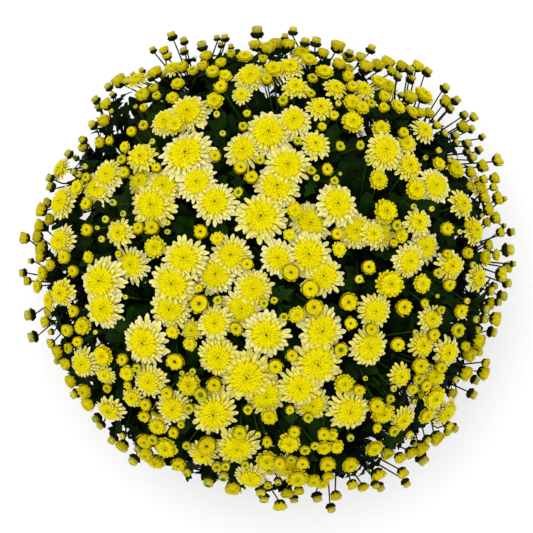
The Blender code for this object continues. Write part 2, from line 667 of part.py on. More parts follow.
def place_stems(feet, ways, crowd):
    """Main stems: upright out of the soil, then bending out along the middle of their cones."""
    stems = []
    for number, (foot, way) in enumerate(zip(feet, ways)):
        base = foot + np.array([0.0, 0.0, SOIL_TOP - HOLE_DEPTH + CLEARANCE])
        out = foot + np.array([0.0, 0.0, SOIL_TOP + STEM_UPRIGHT])
        end = SPRAY_BASE + way * (dome_reach(way) - STEM_END_DEPTH)
        bend = out + (end - out) * STEM_BEND
        bend[2] += STEM_ARCH * (1.0 - way[2])
        path = [base, out, bend, end]
        rings = tube_rings(path, unit(end - bend), np.array([1.0, 0.0, 0.0]), STEM_SIDES, STEM_RADIUS)
        crowd.add(f"spray_{number + 1:02d}", *loft(rings, len(rings)))
        stems.append(path)
    return stems


def stem_point(path, share):
    """Point at a share of the way along the last two legs of a main stem."""
    _, lower, middle, upper = path
    if share < 0.5:
        return lower + (middle - lower) * share * 2.0
    return middle + (upper - middle) * (share - 0.5) * 2.0


def stalk_foot(path, target, slot):
    """Where on the main stem a stalk leaves it: low enough to rise towards its head."""
    tip = unit(path[3] - path[2])
    costs = []
    points = []
    for k in range(FOOT_TRIES):
        point = stem_point(path, FOOT_LOWEST + (1.0 - FOOT_LOWEST) * (k + 0.5 * slot) / FOOT_TRIES)
        lean = float(np.dot(unit(target - point), tip))
        far = float(np.linalg.norm(target - point))
        costs.append(far * (1.0 + FOOT_LEAN_COST * max(0.0, FOOT_LEAN - lean)))
        points.append(point)
    return points[int(np.argmin(costs))]


def stalk_paths(path, back, axis, slot):
    """Ways for a stalk to reach the back of a head: straight, then by knees under the head."""
    side, up = frame_at(axis, np.array([0.0, 0.0, 1.0]))
    foot = stalk_foot(path, back - axis * STALK_BACK, slot)
    paths = [[foot, back]] if float(np.dot(unit(back - foot), axis)) > STALK_STRAIGHT_FROM else []
    paths.append([foot, back - axis * STALK_BACK, back])
    for count, phase, back_share, room_share in KNEES:
        for i in range(count):
            angle = 2.0 * math.pi * (i + phase) / count
            aside = side * math.cos(angle) + up * math.sin(angle)
            knee = back - axis * STALK_BACK * back_share + aside * STALK_ROOM * room_share
            paths.append([foot, knee, back])
    return paths


def is_solid(heads, k):
    """Whether a head is made at all: small buds and buttons are, near the rim only."""
    centre = heads.centre[k]
    near_rim = math.hypot(centre[0], centre[1]) > RIM_HEADS_FROM or centre[2] < WIDEST_Z - RIM_DROP
    least = SOLID_FROM_RIM if near_rim else SOLID_FROM
    return 2.0 * heads.radius[k] >= least[heads.kind[k]]


def stalk_route(heads, k, form, own, crowd, stems, ways):
    """Node, shape and crossed bodies of the best stalk for a head, from the nearest main stems.

    A route that crosses nothing wins; otherwise the one that cuts into the fewest blooms.
    """
    axis, radius = heads.axis[k], heads.radius[k]
    back = head_back(heads, k)
    if form == "calyx":
        back = back - axis * (CALYX_HEIGHT * radius + CLEARANCE)
    best = None
    nearest = np.argsort(-(unit(heads.centre[k] - SPRAY_BASE) @ ways.T))[:SPRAYS_TRIED]
    for rank, s in enumerate(nearest):
        node = f"spray_{s + 1:02d}"
        for path in stalk_paths(stems[s], back, axis, k % 2):
            shape = stalked_head(path, form, axis, head_hint(axis, k), radius)
            hits = [body for body in crowd.crossed(node, *shape) if body != own]
            if not hits:
                return node, shape, hits
            only_blooms = all(crowd.node[body].startswith("bloom") for body in hits)
            if only_blooms and rank == 0 and (best is None or len(hits) < len(best[2])):
                best = (node, shape, hits)
    return best


def place_stalks(heads, groups, crowd, stems, ways):
    """Calyces and smaller heads on their stalks; those that would cross another node bend clear."""
    own = {}
    for members in groups:
        for k in members:
            own[k] = len(own)
    order = sorted(
        (k for k in range(heads.count) if is_solid(heads, k)),
        key=lambda k: (k not in own, -heads.radius[k]),
    )
    for k in order:
        width = 2.0 * heads.radius[k]
        form = "calyx" if k in own else form_of(heads.kind[k], width)
        route = stalk_route(heads, k, form, own.get(k), crowd, stems, ways)
        stays = heads.kind[k] == "open" or (heads.kind[k] == "opening" and width >= ALWAYS_FROM)
        if route is None or (route[2] and not stays):
            continue
        node, shape, hits = route
        for body in hits:
            crowd.cut(body, shape)
        crowd.add(node, *shape)


def leaf_shape(foot, way, hint, length, neck):
    """Lobed leaf on its stalk: foot in the stem, neck where the blade starts, a ridge down it."""
    side, up = frame_at(way, hint)

    def blade_point(along, across):
        droop = LEAF_DROOP * along ** 2
        return foot + way * neck + (way * along + side * across - up * droop) * length

    stalk = []
    for centre in (foot, foot + way * neck):
        sizes = [STALK_RADIUS] * STALK_SIDES, [0.0] * STALK_SIDES
        stalk.extend(round_points(centre, way, side, *sizes, 0.25))
    outline = [blade_point(along, across) for along, across in LEAF_OUTLINE]
    outline += [blade_point(along, -across) for along, across in reversed(LEAF_OUTLINE[:-1])]
    ridge = up * 0.5 * LEAF_THICK
    middle = blade_point(LEAF_MIDDLE, 0.0)
    points = stalk + outline + [middle + ridge, middle - ridge]
    edge = [3] + list(range(6, 6 + len(outline))) + [4]
    top, under = len(points) - 2, len(points) - 1
    faces = [(0, 2, 1), (3, 4, top), (5, 3, under), (4, 5, under)]
    for i in range(3):
        j = (i + 1) % 3
        faces.append((i, j, 3 + i))
        faces.append((j, 3 + j, 3 + i))
    for a, b in zip(edge[:-1], edge[1:]):
        faces.append((b, a, top))
        faces.append((a, b, under))
    return np.array(points), faces


def leaf_try(stem, way, place, rng):
    """One leaf by chance on a main stem, or None where it would be too short or stand on edge."""
    side, up = frame_at(way, np.array([0.3, 0.2, 1.0]))
    turn = 2.0 * math.pi * (place + rng.uniform(-LEAF_STRAY, LEAF_STRAY)) / LEAVES_A_SPRAY
    spread = rng.uniform(*LEAF_SPREAD)
    lead = unit(way + spread * (side * math.cos(turn) + up * math.sin(turn)))
    tip = SPRAY_BASE + lead * dome_reach(lead) * rng.uniform(*LEAF_REACH)
    foot = stem_point(stem, rng.uniform(*LEAF_FOOT))
    far = float(np.linalg.norm(tip - foot))
    length = min(rng.uniform(*LEAF_LENGTH), far * LEAF_BLADE_SHARE)
    lead = unit(tip - foot)
    out = unit(np.array([tip[0], tip[1], (tip[2] - SPRAY_BASE[2]) * LEAF_FLATTEN]))
    hint = np.cross(out, lead)
    if length < LEAF_LENGTH[0] or np.linalg.norm(hint) < LEAF_LEAST_TURN:
        return None
    return leaf_shape(foot, lead, unit(hint), length, far - length)


def place_leaves(crowd, stems, ways):
    """Lobed leaves along each main stem, out to just under the heads, where nothing is crossed."""
    rng = random.Random(LAYOUT_SEED + 1)
    for number, (stem, way) in enumerate(zip(stems, ways)):
        node = f"spray_{number + 1:02d}"
        for place in range(LEAVES_A_SPRAY):
            for _ in range(LEAF_TRIES):
                shape = leaf_try(stem, way, place, rng)
                if shape is not None and not crowd.crossed(node, *shape):
                    crowd.add(node, *shape)
                    break


def collection_named(name):
    found = bpy.data.collections.new(name)
    bpy.context.scene.collection.children.link(found)
    return found


def move_to(obj, collection):
    for old in list(obj.users_collection):
        old.objects.unlink(obj)
    collection.objects.link(obj)


def make_object(name, points, faces, collection):
    """Mesh object from points in millimetres and faces that share them."""
    mesh = bpy.data.meshes.new(name)
    mesh.from_pydata([tuple(point * MM) for point in points], [], [tuple(face) for face in faces])
    mesh.update()
    obj = bpy.data.objects.new(name, mesh)
    collection.objects.link(obj)
    return obj


def apply_boolean(obj, operation, collection):
    """One Boolean of an object with everything in a collection, applied, then that is removed."""
    modifier = obj.modifiers.new("join", "BOOLEAN")
    modifier.operation = operation
    modifier.solver = "MANIFOLD"
    modifier.operand_type = "COLLECTION"
    modifier.collection = collection
    bpy.context.view_layer.update()
    graph = bpy.context.evaluated_depsgraph_get()
    result = bpy.data.meshes.new_from_object(obj.evaluated_get(graph))
    obj.modifiers.clear()
    old = obj.data
    obj.data = result
    bpy.data.meshes.remove(old)
    for other in list(collection.objects):
        bpy.data.objects.remove(other)


def connected_bodies(shape):
    """Faces of a mesh in lists, one for each skin that holds together."""
    left = set(shape.faces)
    bodies = []
    while left:
        body = [left.pop()]
        for face in body:
            for edge in face.edges:
                for other in edge.link_faces:
                    if other in left:
                        left.remove(other)
                        body.append(other)
        bodies.append(body)
    return bodies


def skin_volume(faces):
    """Volume inside a skin of triangles; it is negative for the skin of a sealed hollow."""
    corners = [[vert.co for vert in face.verts] for face in faces]
    return sum(a.dot(b.cross(c)) for a, b, c in corners) / 6.0


def tidy_mesh(obj):
    """Weld, flatten and triangulate; scraps and sealed hollows go, and the main skin stays."""
    shape = bmesh.new()
    shape.from_mesh(obj.data)
    bmesh.ops.remove_doubles(shape, verts=shape.verts, dist=WELD * MM)
    bmesh.ops.dissolve_degenerate(shape, edges=shape.edges, dist=WELD * MM)
    bmesh.ops.dissolve_limit(
        shape, angle_limit=FLAT_ANGLE, verts=shape.verts, edges=shape.edges,
        use_dissolve_boundaries=False,
    )
    bmesh.ops.triangulate(shape, faces=shape.faces)
    bodies = sorted(connected_bodies(shape), key=skin_volume)
    for body in bodies[:-1]:
        bmesh.ops.delete(shape, geom=body, context="FACES")
    loose = [vert for vert in shape.verts if not vert.link_faces]
    bmesh.ops.delete(shape, geom=loose, context="VERTS")
    shape.to_mesh(obj.data)
    shape.free()


def join_node(name, crowd, parts, joining):
    """One node: its first body with the others joined on, and cut clear of what crosses it."""
    shapes = [shape for node, shape in zip(crowd.node, crowd.shape) if node == name]
    obj = make_object(name, *shapes[0], parts)
    for number, (points, faces) in enumerate(shapes[1:]):
        make_object(f"{name}_piece_{number}", points, faces, joining)
    if len(shapes) > 1:
        apply_boolean(obj, "UNION", joining)
    for number, (points, faces) in enumerate(crowd.cuts.get(name, [])):
        make_object(f"{name}_cut_{number}", fattened(points, faces, CLEARANCE), faces, joining)
    if name in crowd.cuts:
        apply_boolean(obj, "DIFFERENCE", joining)
    return obj


def screwed(name, profile, collection):
    """Turned body from a profile of radius and height, in millimetres, from axis to axis."""
    mesh = bpy.data.meshes.new(name)
    edges = [(i, i + 1) for i in range(len(profile) - 1)]
    mesh.from_pydata([(radius * MM, 0.0, z * MM) for radius, z in profile], edges, [])
    obj = bpy.data.objects.new(name, mesh)
    collection.objects.link(obj)
    turned = obj.modifiers.new("turn", "SCREW")
    turned.steps = POT_SIDES
    turned.render_steps = POT_SIDES
    turned.use_merge_vertices = True
    turned.merge_threshold = 0.00001
    return obj


def drill(x, y, z, radius, depth, sides, collection):
    """Upright round cutter, in millimetres."""
    bpy.ops.mesh.primitive_cylinder_add(
        vertices=sides, radius=radius * MM, depth=depth * MM, location=(x * MM, y * MM, z * MM),
    )
    cutter = bpy.context.object
    cutter.hide_render = True
    cutter.display_type = "WIRE"
    move_to(cutter, collection)


def wall_radius(z):
    """Outer radius of the pot's wall at a height."""
    return POT_BASE_RADIUS + (POT_TOP_RADIUS - POT_BAND_STEP - POT_BASE_RADIUS) * z / POT_HEIGHT


def make_pot(parts, joining):
    """Tapered pot with a band round its mouth and drain holes through its floor."""
    band = POT_HEIGHT - POT_BAND_HEIGHT
    profile = [
        (0.0, POT_FLOOR),
        (wall_radius(POT_FLOOR) - POT_WALL, POT_FLOOR),
        (wall_radius(POT_HEIGHT) - POT_WALL, POT_HEIGHT),
        (POT_TOP_RADIUS, POT_HEIGHT),
        (POT_TOP_RADIUS - POT_BAND_TAPER, band),
        (wall_radius(band), band),
        (POT_BASE_RADIUS, 0.0),
        (0.0, 0.0),
    ]
    pot = screwed("pot", profile, parts)
    for i in range(DRAIN_COUNT):
        turn = 2.0 * math.pi * (i + 0.5) / DRAIN_COUNT
        x, y = DRAIN_RING * math.cos(turn), DRAIN_RING * math.sin(turn)
        drill(x, y, 0.0, DRAIN_RADIUS, 4.0 * POT_FLOOR, DRAIN_SIDES, joining)
    apply_boolean(pot, "DIFFERENCE", joining)
    return pot


def make_soil(feet, parts, joining):
    """Potting mix that fills the pot, with a plain hole for the foot of each main stem."""
    low = POT_FLOOR + CLEARANCE
    inset = POT_WALL + CLEARANCE
    profile = [
        (0.0, SOIL_TOP),
        (wall_radius(SOIL_TOP) - inset, SOIL_TOP),
        (wall_radius(low) - inset, low),
        (0.0, low),
    ]
    soil = screwed("soil", profile, parts)
    for foot in feet:
        drill(foot[0], foot[1], SOIL_TOP, HOLE_RADIUS, 2.0 * HOLE_DEPTH, HOLE_SIDES, joining)
    apply_boolean(soil, "DIFFERENCE", joining)
    return soil


def make_materials():
    """Plain finish for each kind of node."""
    made = {}
    for kind, (colour, roughness, metallic) in FINISHES.items():
        material = bpy.data.materials.new(f"{kind}_finish")
        material.use_nodes = True
        material.diffuse_color = (*colour, 1.0)
        shader = material.node_tree.nodes["Principled BSDF"]
        shader.inputs["Base Color"].default_value = (*colour, 1.0)
        shader.inputs["Roughness"].default_value = roughness
        shader.inputs["Metallic"].default_value = metallic
        made[kind] = material
    return made


def plan_plant(feet, ways):
    """Every bloom, stem, stalk and leaf of the plant as bodies that don't cross between nodes."""
    heads = place_heads()
    groups, ties = group_blooms(heads)
    relax(heads, groups, ties)
    crowd = Crowd()
    place_blooms(heads, groups, crowd)
    stems = place_stems(feet, ways, crowd)
    place_stalks(heads, groups, crowd, stems, ways)
    place_leaves(crowd, stems, ways)
    return crowd


def main():
    for old in list(bpy.data.objects):
        bpy.data.objects.remove(old)
    parts = collection_named("pot_chrysanthemum")
    joining = collection_named("joining")
    finishes = make_materials()
    feet, ways = spray_plan()
    crowd = plan_plant(feet, ways)
    turned = [make_pot(parts, joining), make_soil(feet, parts, joining)]
    grown = [join_node(name, crowd, parts, joining) for name in sorted(set(crowd.node))]
    for obj in turned + grown:
        tidy_mesh(obj)
        obj.data.materials.append(finishes[obj.name.split("_")[0]])
    for obj in turned:
        obj.data.shade_smooth()
        obj.data.set_sharp_from_angle(angle=SHARP_ANGLE)


if __name__ == "__main__":
    main()
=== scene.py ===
"""Looks of the pot chrysanthemum: petals in rows, bracts, stalks, lobed leaves, soil and pot."""

import math
import random

import bpy
import numpy as np
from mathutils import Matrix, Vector
from mathutils.kdtree import KDTree


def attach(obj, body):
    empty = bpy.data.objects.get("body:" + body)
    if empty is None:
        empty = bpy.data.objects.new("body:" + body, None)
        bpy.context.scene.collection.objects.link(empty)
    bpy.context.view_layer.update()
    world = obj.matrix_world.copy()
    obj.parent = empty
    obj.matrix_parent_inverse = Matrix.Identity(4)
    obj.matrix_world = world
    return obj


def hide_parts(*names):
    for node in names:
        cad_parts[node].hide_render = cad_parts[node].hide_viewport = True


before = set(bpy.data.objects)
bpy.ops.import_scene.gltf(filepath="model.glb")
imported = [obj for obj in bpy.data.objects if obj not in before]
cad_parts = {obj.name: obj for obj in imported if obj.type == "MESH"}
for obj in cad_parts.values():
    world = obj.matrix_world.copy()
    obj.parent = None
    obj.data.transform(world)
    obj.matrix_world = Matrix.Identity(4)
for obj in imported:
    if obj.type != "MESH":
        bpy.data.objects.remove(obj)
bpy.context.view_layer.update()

# Sizes below are in millimetres; make_piece turns them into metres.
MM = 0.001

# The plant's layout, as the solids were laid out
DOME_RADIUS = 250.0
DOME_RISE = 158.0
WIDEST_Z = 196.0
RIM_SHARE = 0.985
RIM_DROP = 34.0
RIM_FROM = 218.0
EYE_HEIGHT = 1500.0
SIGHT_STEPS = 8
PHOTO_CENTRE = (266.0, 271.0)
PHOTO_SIDE = 533.0
MOST_TILT = math.radians(52.0)
# Near the rim heads turn further out: where that starts, over what width, and how far
TURN_FROM = 198.0
TURN_OVER = 36.0
TURN_STRAY = 0.14
RIM_TILT = {"open": 0.95, "low": 0.95, "opening": 1.08, "button": 1.28, "bud": 1.36}
SKIRT = (("open", 8, 26.0, 34.0), ("button", 7, 12.0, 16.0), ("bud", 7, 8.6, 11.0))
SKIRT_RADIUS = 214.0
SKIRT_DROP = 66.0
SKIRT_OUT = (0.80, 0.955)
SKIRT_STRAY = (-0.25, 0.25)
SKIRT_LIFT = (0.15, 0.60)
SPRAY_RINGS = ((1, 0.0, 0.0, 0.0), (6, 27.0, 30.0, 0.3), (10, 60.0, 60.0, 0.1))
SPRAY_BASE = np.array([0.0, 0.0, 118.0])
STEM_FOOT_Z = 120.35
SOIL_TOP = 146.0
STEM_UPRIGHT = 5.0
STEM_BEND = 0.45
STEM_ARCH = 10.0
STEM_END_DEPTH = 42.0
STALK_RADIUS = 1.1
STALK_SIDES = 3
STALK_STRAIGHT_FROM = 0.45
STALK_BACK = 15.0
STALK_ROOM = 9.0
KNEES = ((6, 0.0, 1.0, 1.0), (4, 0.25, 0.6, 1.8))
FOOT_TRIES = 12
FOOT_LOWEST = 0.30
FOOT_LEAN = 0.70
FOOT_LEAN_COST = 1.2
SPRAYS_TRIED = 3
THICKNESS = {"open": 0.36, "opening": 0.50, "button": 0.62, "bud": 0.95}
LIFT = {"open": 0.0, "low": -10.0, "opening": 1.0, "button": 4.0, "bud": 6.0}
BACK_SHARE = {"open": 0.26, "opening": 0.42, "button": 0.55, "bud": 0.95}
CALYX_HEIGHT = 0.24
CLEARANCE = 0.35
GOLDEN_ANGLE = math.radians(137.5)
OWN_NODE_WIDTH = 28.8
BLOOM_NODES = 40
BLOOMS_A_NODE = 3
RELAX_STEPS = 90
RELAX_REACH = 20.0
HOME_PULL = 0.05
HOME_UNTIL = 0.7
HEAD_GAP = 0.8
TIE_SHARE = 0.56
TIE_PULL = 0.25
LEAVES_A_SPRAY = 3
LEAF_LENGTH = (46.0, 66.0)
LEAF_DROOP = 0.16
LEAF_TRIES = 20
LEAF_STRAY = 0.4
LEAF_SPREAD = (0.15, 0.42)
LEAF_REACH = (0.80, 0.90)
LEAF_FOOT = (0.35, 0.95)
LEAF_BLADE_SHARE = 0.8
LEAF_FLATTEN = 1.6
LEAF_LEAST_TURN = 0.2
LAYOUT_SEED = 13
SAME_POINT = 0.03

# Leaves that are added to those of the solids, first more of them on the main stems
EXTRA_LEAVES = 16
EXTRA_TRIES = 10
EXTRA_LENGTH = (44.0, 72.0)
EXTRA_LEAST = 30.0
EXTRA_BLADE_SHARE = 0.85
EXTRA_STRAY = 0.5
EXTRA_SPREAD = (0.05, 0.72)
EXTRA_REACH = (0.56, 0.93)
EXTRA_FOOT = (0.15, 0.95)
EXTRA_SEED = 40
HEAD_ROOM = 1.5
# Then some in the gaps between heads seen from above, just under the heads and then deeper
GAP_STEP = 4.0
GAP_OUT = 216.0
GAP_TRIES = 22
GAP_LENGTH = (28.0, 52.0)
GAP_DEPTHS = ((7.0, 30.0), (16.0, 95.0))
GAP_HEAD_SHARE = 0.80
GAP_LEAF_SHARE = 0.117
GAP_STRAY = 0.35
GAP_STRAY_SHARES = (1.0, 1.0, 0.4)
GAP_NECK = 40.0
# Then small ones along the stalks
LEAFLET_LENGTH = (14.0, 27.0)
LEAFLET_SHARES = (0.35, 0.92)
LEAFLET_EVERY = 19.0
LEAFLET_MOST = 4
LEAFLET_TIPS = (0.3, 0.6, 0.95)
LEAFLET_RISE = 0.35
LEAFLET_WIDTH = 0.66
LEAFLET_CUP = 0.22
LEAFLET_THICK = 0.5
# How far out, in pixels from the photo's centre, tips of leaves and of leaflets may be seen
LEAF_RIM = 221.0
LEAFLET_RIM = 227.0
# Foliage colour carries painted light and shade: it is painted lightest at the top and painted darker over
# these depths under the dome; within a height over the skirt a share of that painted shade is taken back,
# because light comes in from the sides
TOP_LIGHT = 1.3
LOW_LIGHT = 0.12
LOW_DEPTH = (8.0, 52.0)
SIDE_SHARE = 0.7
SIDE_DEPTH = (0.0, 45.0)

# Half outline of a leaf as shares of its length, along the midrib and out from it, and how
# much of a side vein runs to each point
LEAF_HALF = (
    (0.00, 0.02, 0.0), (0.10, 0.20, 0.2), (0.24, 0.36, 1.0), (0.32, 0.31, 0.3), (0.40, 0.165, 0.0),
    (0.49, 0.25, 0.2), (0.58, 0.335, 1.0), (0.65, 0.31, 0.3), (0.72, 0.14, 0.0), (0.80, 0.155, 0.6),
    (0.91, 0.11, 0.2),
)
VEIN_SLANT = 0.45
# A leaf's thickness, how far its midrib stands out below, and its quilting, fold and waves
LEAF_SKIN = 0.7
RIB_DEPTH = 0.4
LEAF_QUILT = 0.012
LEAF_FOLD = (0.05, 0.35)
LEAF_WAVE = (0.0, 0.05)
WAVES = 14.0
# Points along a leaf and how far out its wings are taken to reach, where its room is checked
MARK_SHARES = np.array([0.15, 0.4, 0.65, 0.9])
MARK_WING = 0.22
RIB_SHARES = np.linspace(0.0, 1.0, 6)[:, None]
RIB_WING = 0.3
# Share of a head's radius within which a point over it hides it, and points along a stalk's legs
HIDDEN_SHARE = 0.9
ROUTE_SHARES = np.linspace(0.1, 0.95, 12)[:, None]
# Directions that no stem, tube, crumb or other axis runs along, from which they are turned
LEAF_HINT = np.array([0.3, 0.2, 1.0])
TUBE_HINT = np.array([0.37, 0.21, 0.13])
CRUMB_HINT = np.array([0.2, 0.9, 0.1])
SPARE_HINT = np.array([0.31, 0.95, 0.05])
UPRIGHT = np.array([0.0, 0.0, 1.0])

# Widths along a blade: share of its length, share of its width; the last one is its tip
ROUND_TIP = ((0.0, 0.55), (0.45, 0.88), (0.74, 1.0), (0.92, 0.66), (1.0, 0.0))
NARROW_TIP = ((0.0, 0.60), (0.50, 1.0), (0.86, 0.72), (1.0, 0.0))
POINTED = ((0.0, 0.65), (0.50, 1.0), (0.85, 0.66), (1.0, 0.0))
WEDGE = ((0.0, 0.85), (0.45, 1.0), (0.80, 0.60), (1.0, 0.0))
HOOD = ((0.0, 0.85), (0.55, 1.0), (0.87, 0.80), (1.0, 0.0))
BRACT = ((0.0, 0.9), (0.60, 0.9), (1.0, 0.0))
LEAFLET = (
    (0.0, 0.06), (0.14, 0.50), (0.27, 0.95), (0.38, 0.45), (0.58, 1.0), (0.70, 0.42), (0.86, 0.32),
    (1.0, 0.0),
)

# Shares along a blade between which its colours pass into each other, and how light it may be
FOOT_FADE = (0.0, 0.5)
TIP_FADE = (0.55, 0.97)
LEAST_TONE = 0.94
TONE_SPREAD = 0.12

# Rows of an open bloom: how far out the tips reach, and how many petals; the rows past the disc
# have wide petals with rounded tips
OPEN_ROWS = (
    (1.11, 19), (1.00, 22), (0.89, 23), (0.78, 23), (0.66, 24), (0.55, 23), (0.44, 20), (0.34, 17),
    (0.25, 13), (0.16, 9), (0.08, 5),
)
SMALL_ROWS = ((1.13, 15), (0.98, 17), (0.81, 17), (0.64, 16), (0.47, 14), (0.31, 10), (0.16, 6))
DISC_REACH = 0.70
OPENING_ROWS = ((1.03, 19), (0.92, 20), (0.78, 18), (0.61, 15), (0.43, 11), (0.24, 7))
OPENING_DISC = 0.87
# Radii over which a bloom has all its rows, and under which heads have fewer petals or are young
LARGE_BLOOM = 14.0
SMALL_OPENING = 8.0
SMALL_BUTTON = 5.2
YOUNG_BUTTON = 5.4
# How pale petals of open blooms are; how often buttons are young, and how wide their eyes are
LARGE_PALE = (0.35, 1.0)
SMALL_PALE = (0.1, 0.6)
OFTEN_YOUNG = 0.7
SELDOM_YOUNG = 0.06
YOUNG_EYE = (0.24, 0.31)
OLD_EYE = (0.08, 0.12)

# How much the petals of a row vary in length and height, and how much more in some rows
LONGER = 0.05
HIGHER = 0.03
EVEN = (1.0, 1.0)
OUTER_STRAY = (2.3, 1.6)
DISC_STRAY = (0.8, 0.5)
OPENING_STRAY = (1.8, 1.0)
BUTTON_STRAY = (2.4, 1.6)
BUD_STRAY = (0.7, 0.7)
BRACT_STRAY = (0.8, 0.8)

# How far a head may be from round, and how dark or light
UNROUND = (0.89, 1.07)
TONE = (0.88, 1.03)
# How deep heads are for their width, and how much fuller than the solids those near the rim are
HEAD_DEPTH = {"open": 1.0, "opening": 1.15, "button": 1.35, "bud": 1.0}
RIM_FULLER = {"open": 1.06, "opening": 1.08, "button": 1.10, "bud": 1.16}
HEAD_SEED = 1000

# Radii of stalks and stems from the foot to the end, and the sides of their tubes
STALK_TAPER = (1.2, 0.7)
STALK_TUBE = 5
LEAF_TAPER = (1.15, 0.7)
STEM_TAPER = (3.4, 2.4)
STEM_TUBE = 10

SHARP_ANGLE = math.radians(50.0)
LIGHT_LEVEL = 1.40


def dye(red, green, blue):
    """Linear colour that looks like these 0 to 255 values in the plant's own light."""
    values = np.array([red, green, blue]) / 255.0
    linear = np.where(values <= 0.04045, values / 12.92, ((values + 0.055) / 1.055) ** 2.4)
    return linear / LIGHT_LEVEL


CREAM = dye(252, 247, 196)
PALE = dye(246, 236, 92)
YELLOW = dye(244, 230, 2)
DEEP = dye(234, 210, 0)
OCHRE = dye(200, 166, 0)
OLIVE = dye(62, 68, 4)
LIME = dye(120, 148, 12)
EYE_GREEN = dye(82, 122, 8)
GREEN = dye(24, 36, 7)
LEAF_GREEN = dye(24, 47, 9)
DARK_GREEN = dye(7, 18, 3)
STALK_GREEN = dye(40, 66, 16)
RUST = dye(72, 34, 8)

# Heads seen in the photo: pixel across, pixel down, width in pixels. One pixel is 1 mm on the
# plane where the plant is widest.
OPEN_SPOTS = (
    (172, 68, 20), (251, 76, 34), (242, 95, 20), (190, 111, 44), (165, 122, 32), (137, 79, 20),
    (302, 53, 24), (290, 66, 28), (296, 87, 26), (337, 88, 24), (365, 89, 24), (386, 86, 26),
    (320, 108, 26), (295, 121, 36), (424, 131, 24), (409, 146, 22), (409, 164, 30), (432, 183, 34),
    (480, 187, 26), (462, 204, 28), (475, 230, 26), (418, 222, 30), (410, 262, 34), (451, 266, 30),
    (478, 278, 26), (60, 169, 22), (62, 202, 32), (61, 241, 32), (106, 174, 32), (141, 157, 28),
    (119, 233, 30), (102, 280, 44), (185, 155, 50), (196, 181, 36), (151, 205, 44), (217, 204, 42),
    (187, 256, 42), (232, 254, 40), (262, 219, 52), (240, 151, 36), (274, 137, 46), (314, 143, 28),
    (286, 164, 44), (277, 187, 48), (385, 154, 40), (337, 204, 42), (309, 254, 46), (373, 234, 24),
    (276, 255, 36), (322, 277, 42), (103, 309, 42), (62, 293, 28), (49, 300, 20), (145, 343, 46),
    (171, 284, 46), (84, 364, 32), (103, 374, 20), (150, 382, 34), (133, 397, 24), (173, 407, 36),
    (110, 410, 28), (252, 288, 38), (265, 333, 46), (215, 324, 32), (213, 351, 42), (321, 324, 46),
    (250, 377, 52), (299, 387, 38), (317, 368, 48), (349, 410, 38), (213, 414, 46), (237, 446, 42),
    (203, 455, 28), (251, 477, 30), (288, 471, 28), (375, 310, 32), (431, 321, 26), (424, 343, 28),
    (369, 346, 38), (447, 353, 28), (436, 379, 26), (446, 414, 28), (402, 420, 26), (401, 376, 24),
)
LOW_SPOTS = (
    (424, 248, 34), (98, 189, 34), (131, 265, 36), (166, 183, 40), (214, 276, 44), (310, 224, 40),
    (351, 230, 38), (384, 234, 34), (172, 312, 42), (242, 307, 40), (268, 396, 42), (312, 404, 36),
    (142, 181, 24), (190, 329, 22),
)
OPENING_SPOTS = (
    (125, 147, 12), (245, 57, 17), (178, 84, 15), (224, 75, 15), (211, 103, 20), (174, 98, 14),
    (180, 135, 22), (307, 62, 16), (272, 72, 18), (325, 73, 18), (349, 57, 16), (353, 102, 20),
    (359, 109, 15), (353, 121, 22), (376, 84, 16), (398, 107, 16), (423, 96, 22), (412, 112, 14),
    (80, 188, 16), (43, 273, 16), (92, 260, 12), (161, 249, 22), (219, 240, 14), (382, 130, 20),
    (379, 177, 20), (386, 212, 26), (292, 210, 18), (335, 250, 15), (438, 168, 14), (416, 190, 22),
    (455, 168, 20), (485, 258, 16), (419, 281, 20), (84, 325, 20), (104, 356, 24), (132, 373, 16),
    (159, 424, 20), (166, 447, 24), (156, 461, 20), (300, 315, 18), (190, 344, 14), (190, 385, 26),
    (344, 384, 22), (290, 444, 24), (331, 436, 14), (325, 446, 16), (335, 448, 16), (265, 460, 24),
    (298, 474, 22), (321, 483, 14), (389, 285, 28), (432, 395, 24), (427, 413, 18), (384, 414, 24),
    (374, 448, 20), (38, 286, 14), (362, 486, 14), (291, 237, 12), (401, 236, 15), (496, 255, 12),
    (269, 414, 18), (173, 331, 13),
)
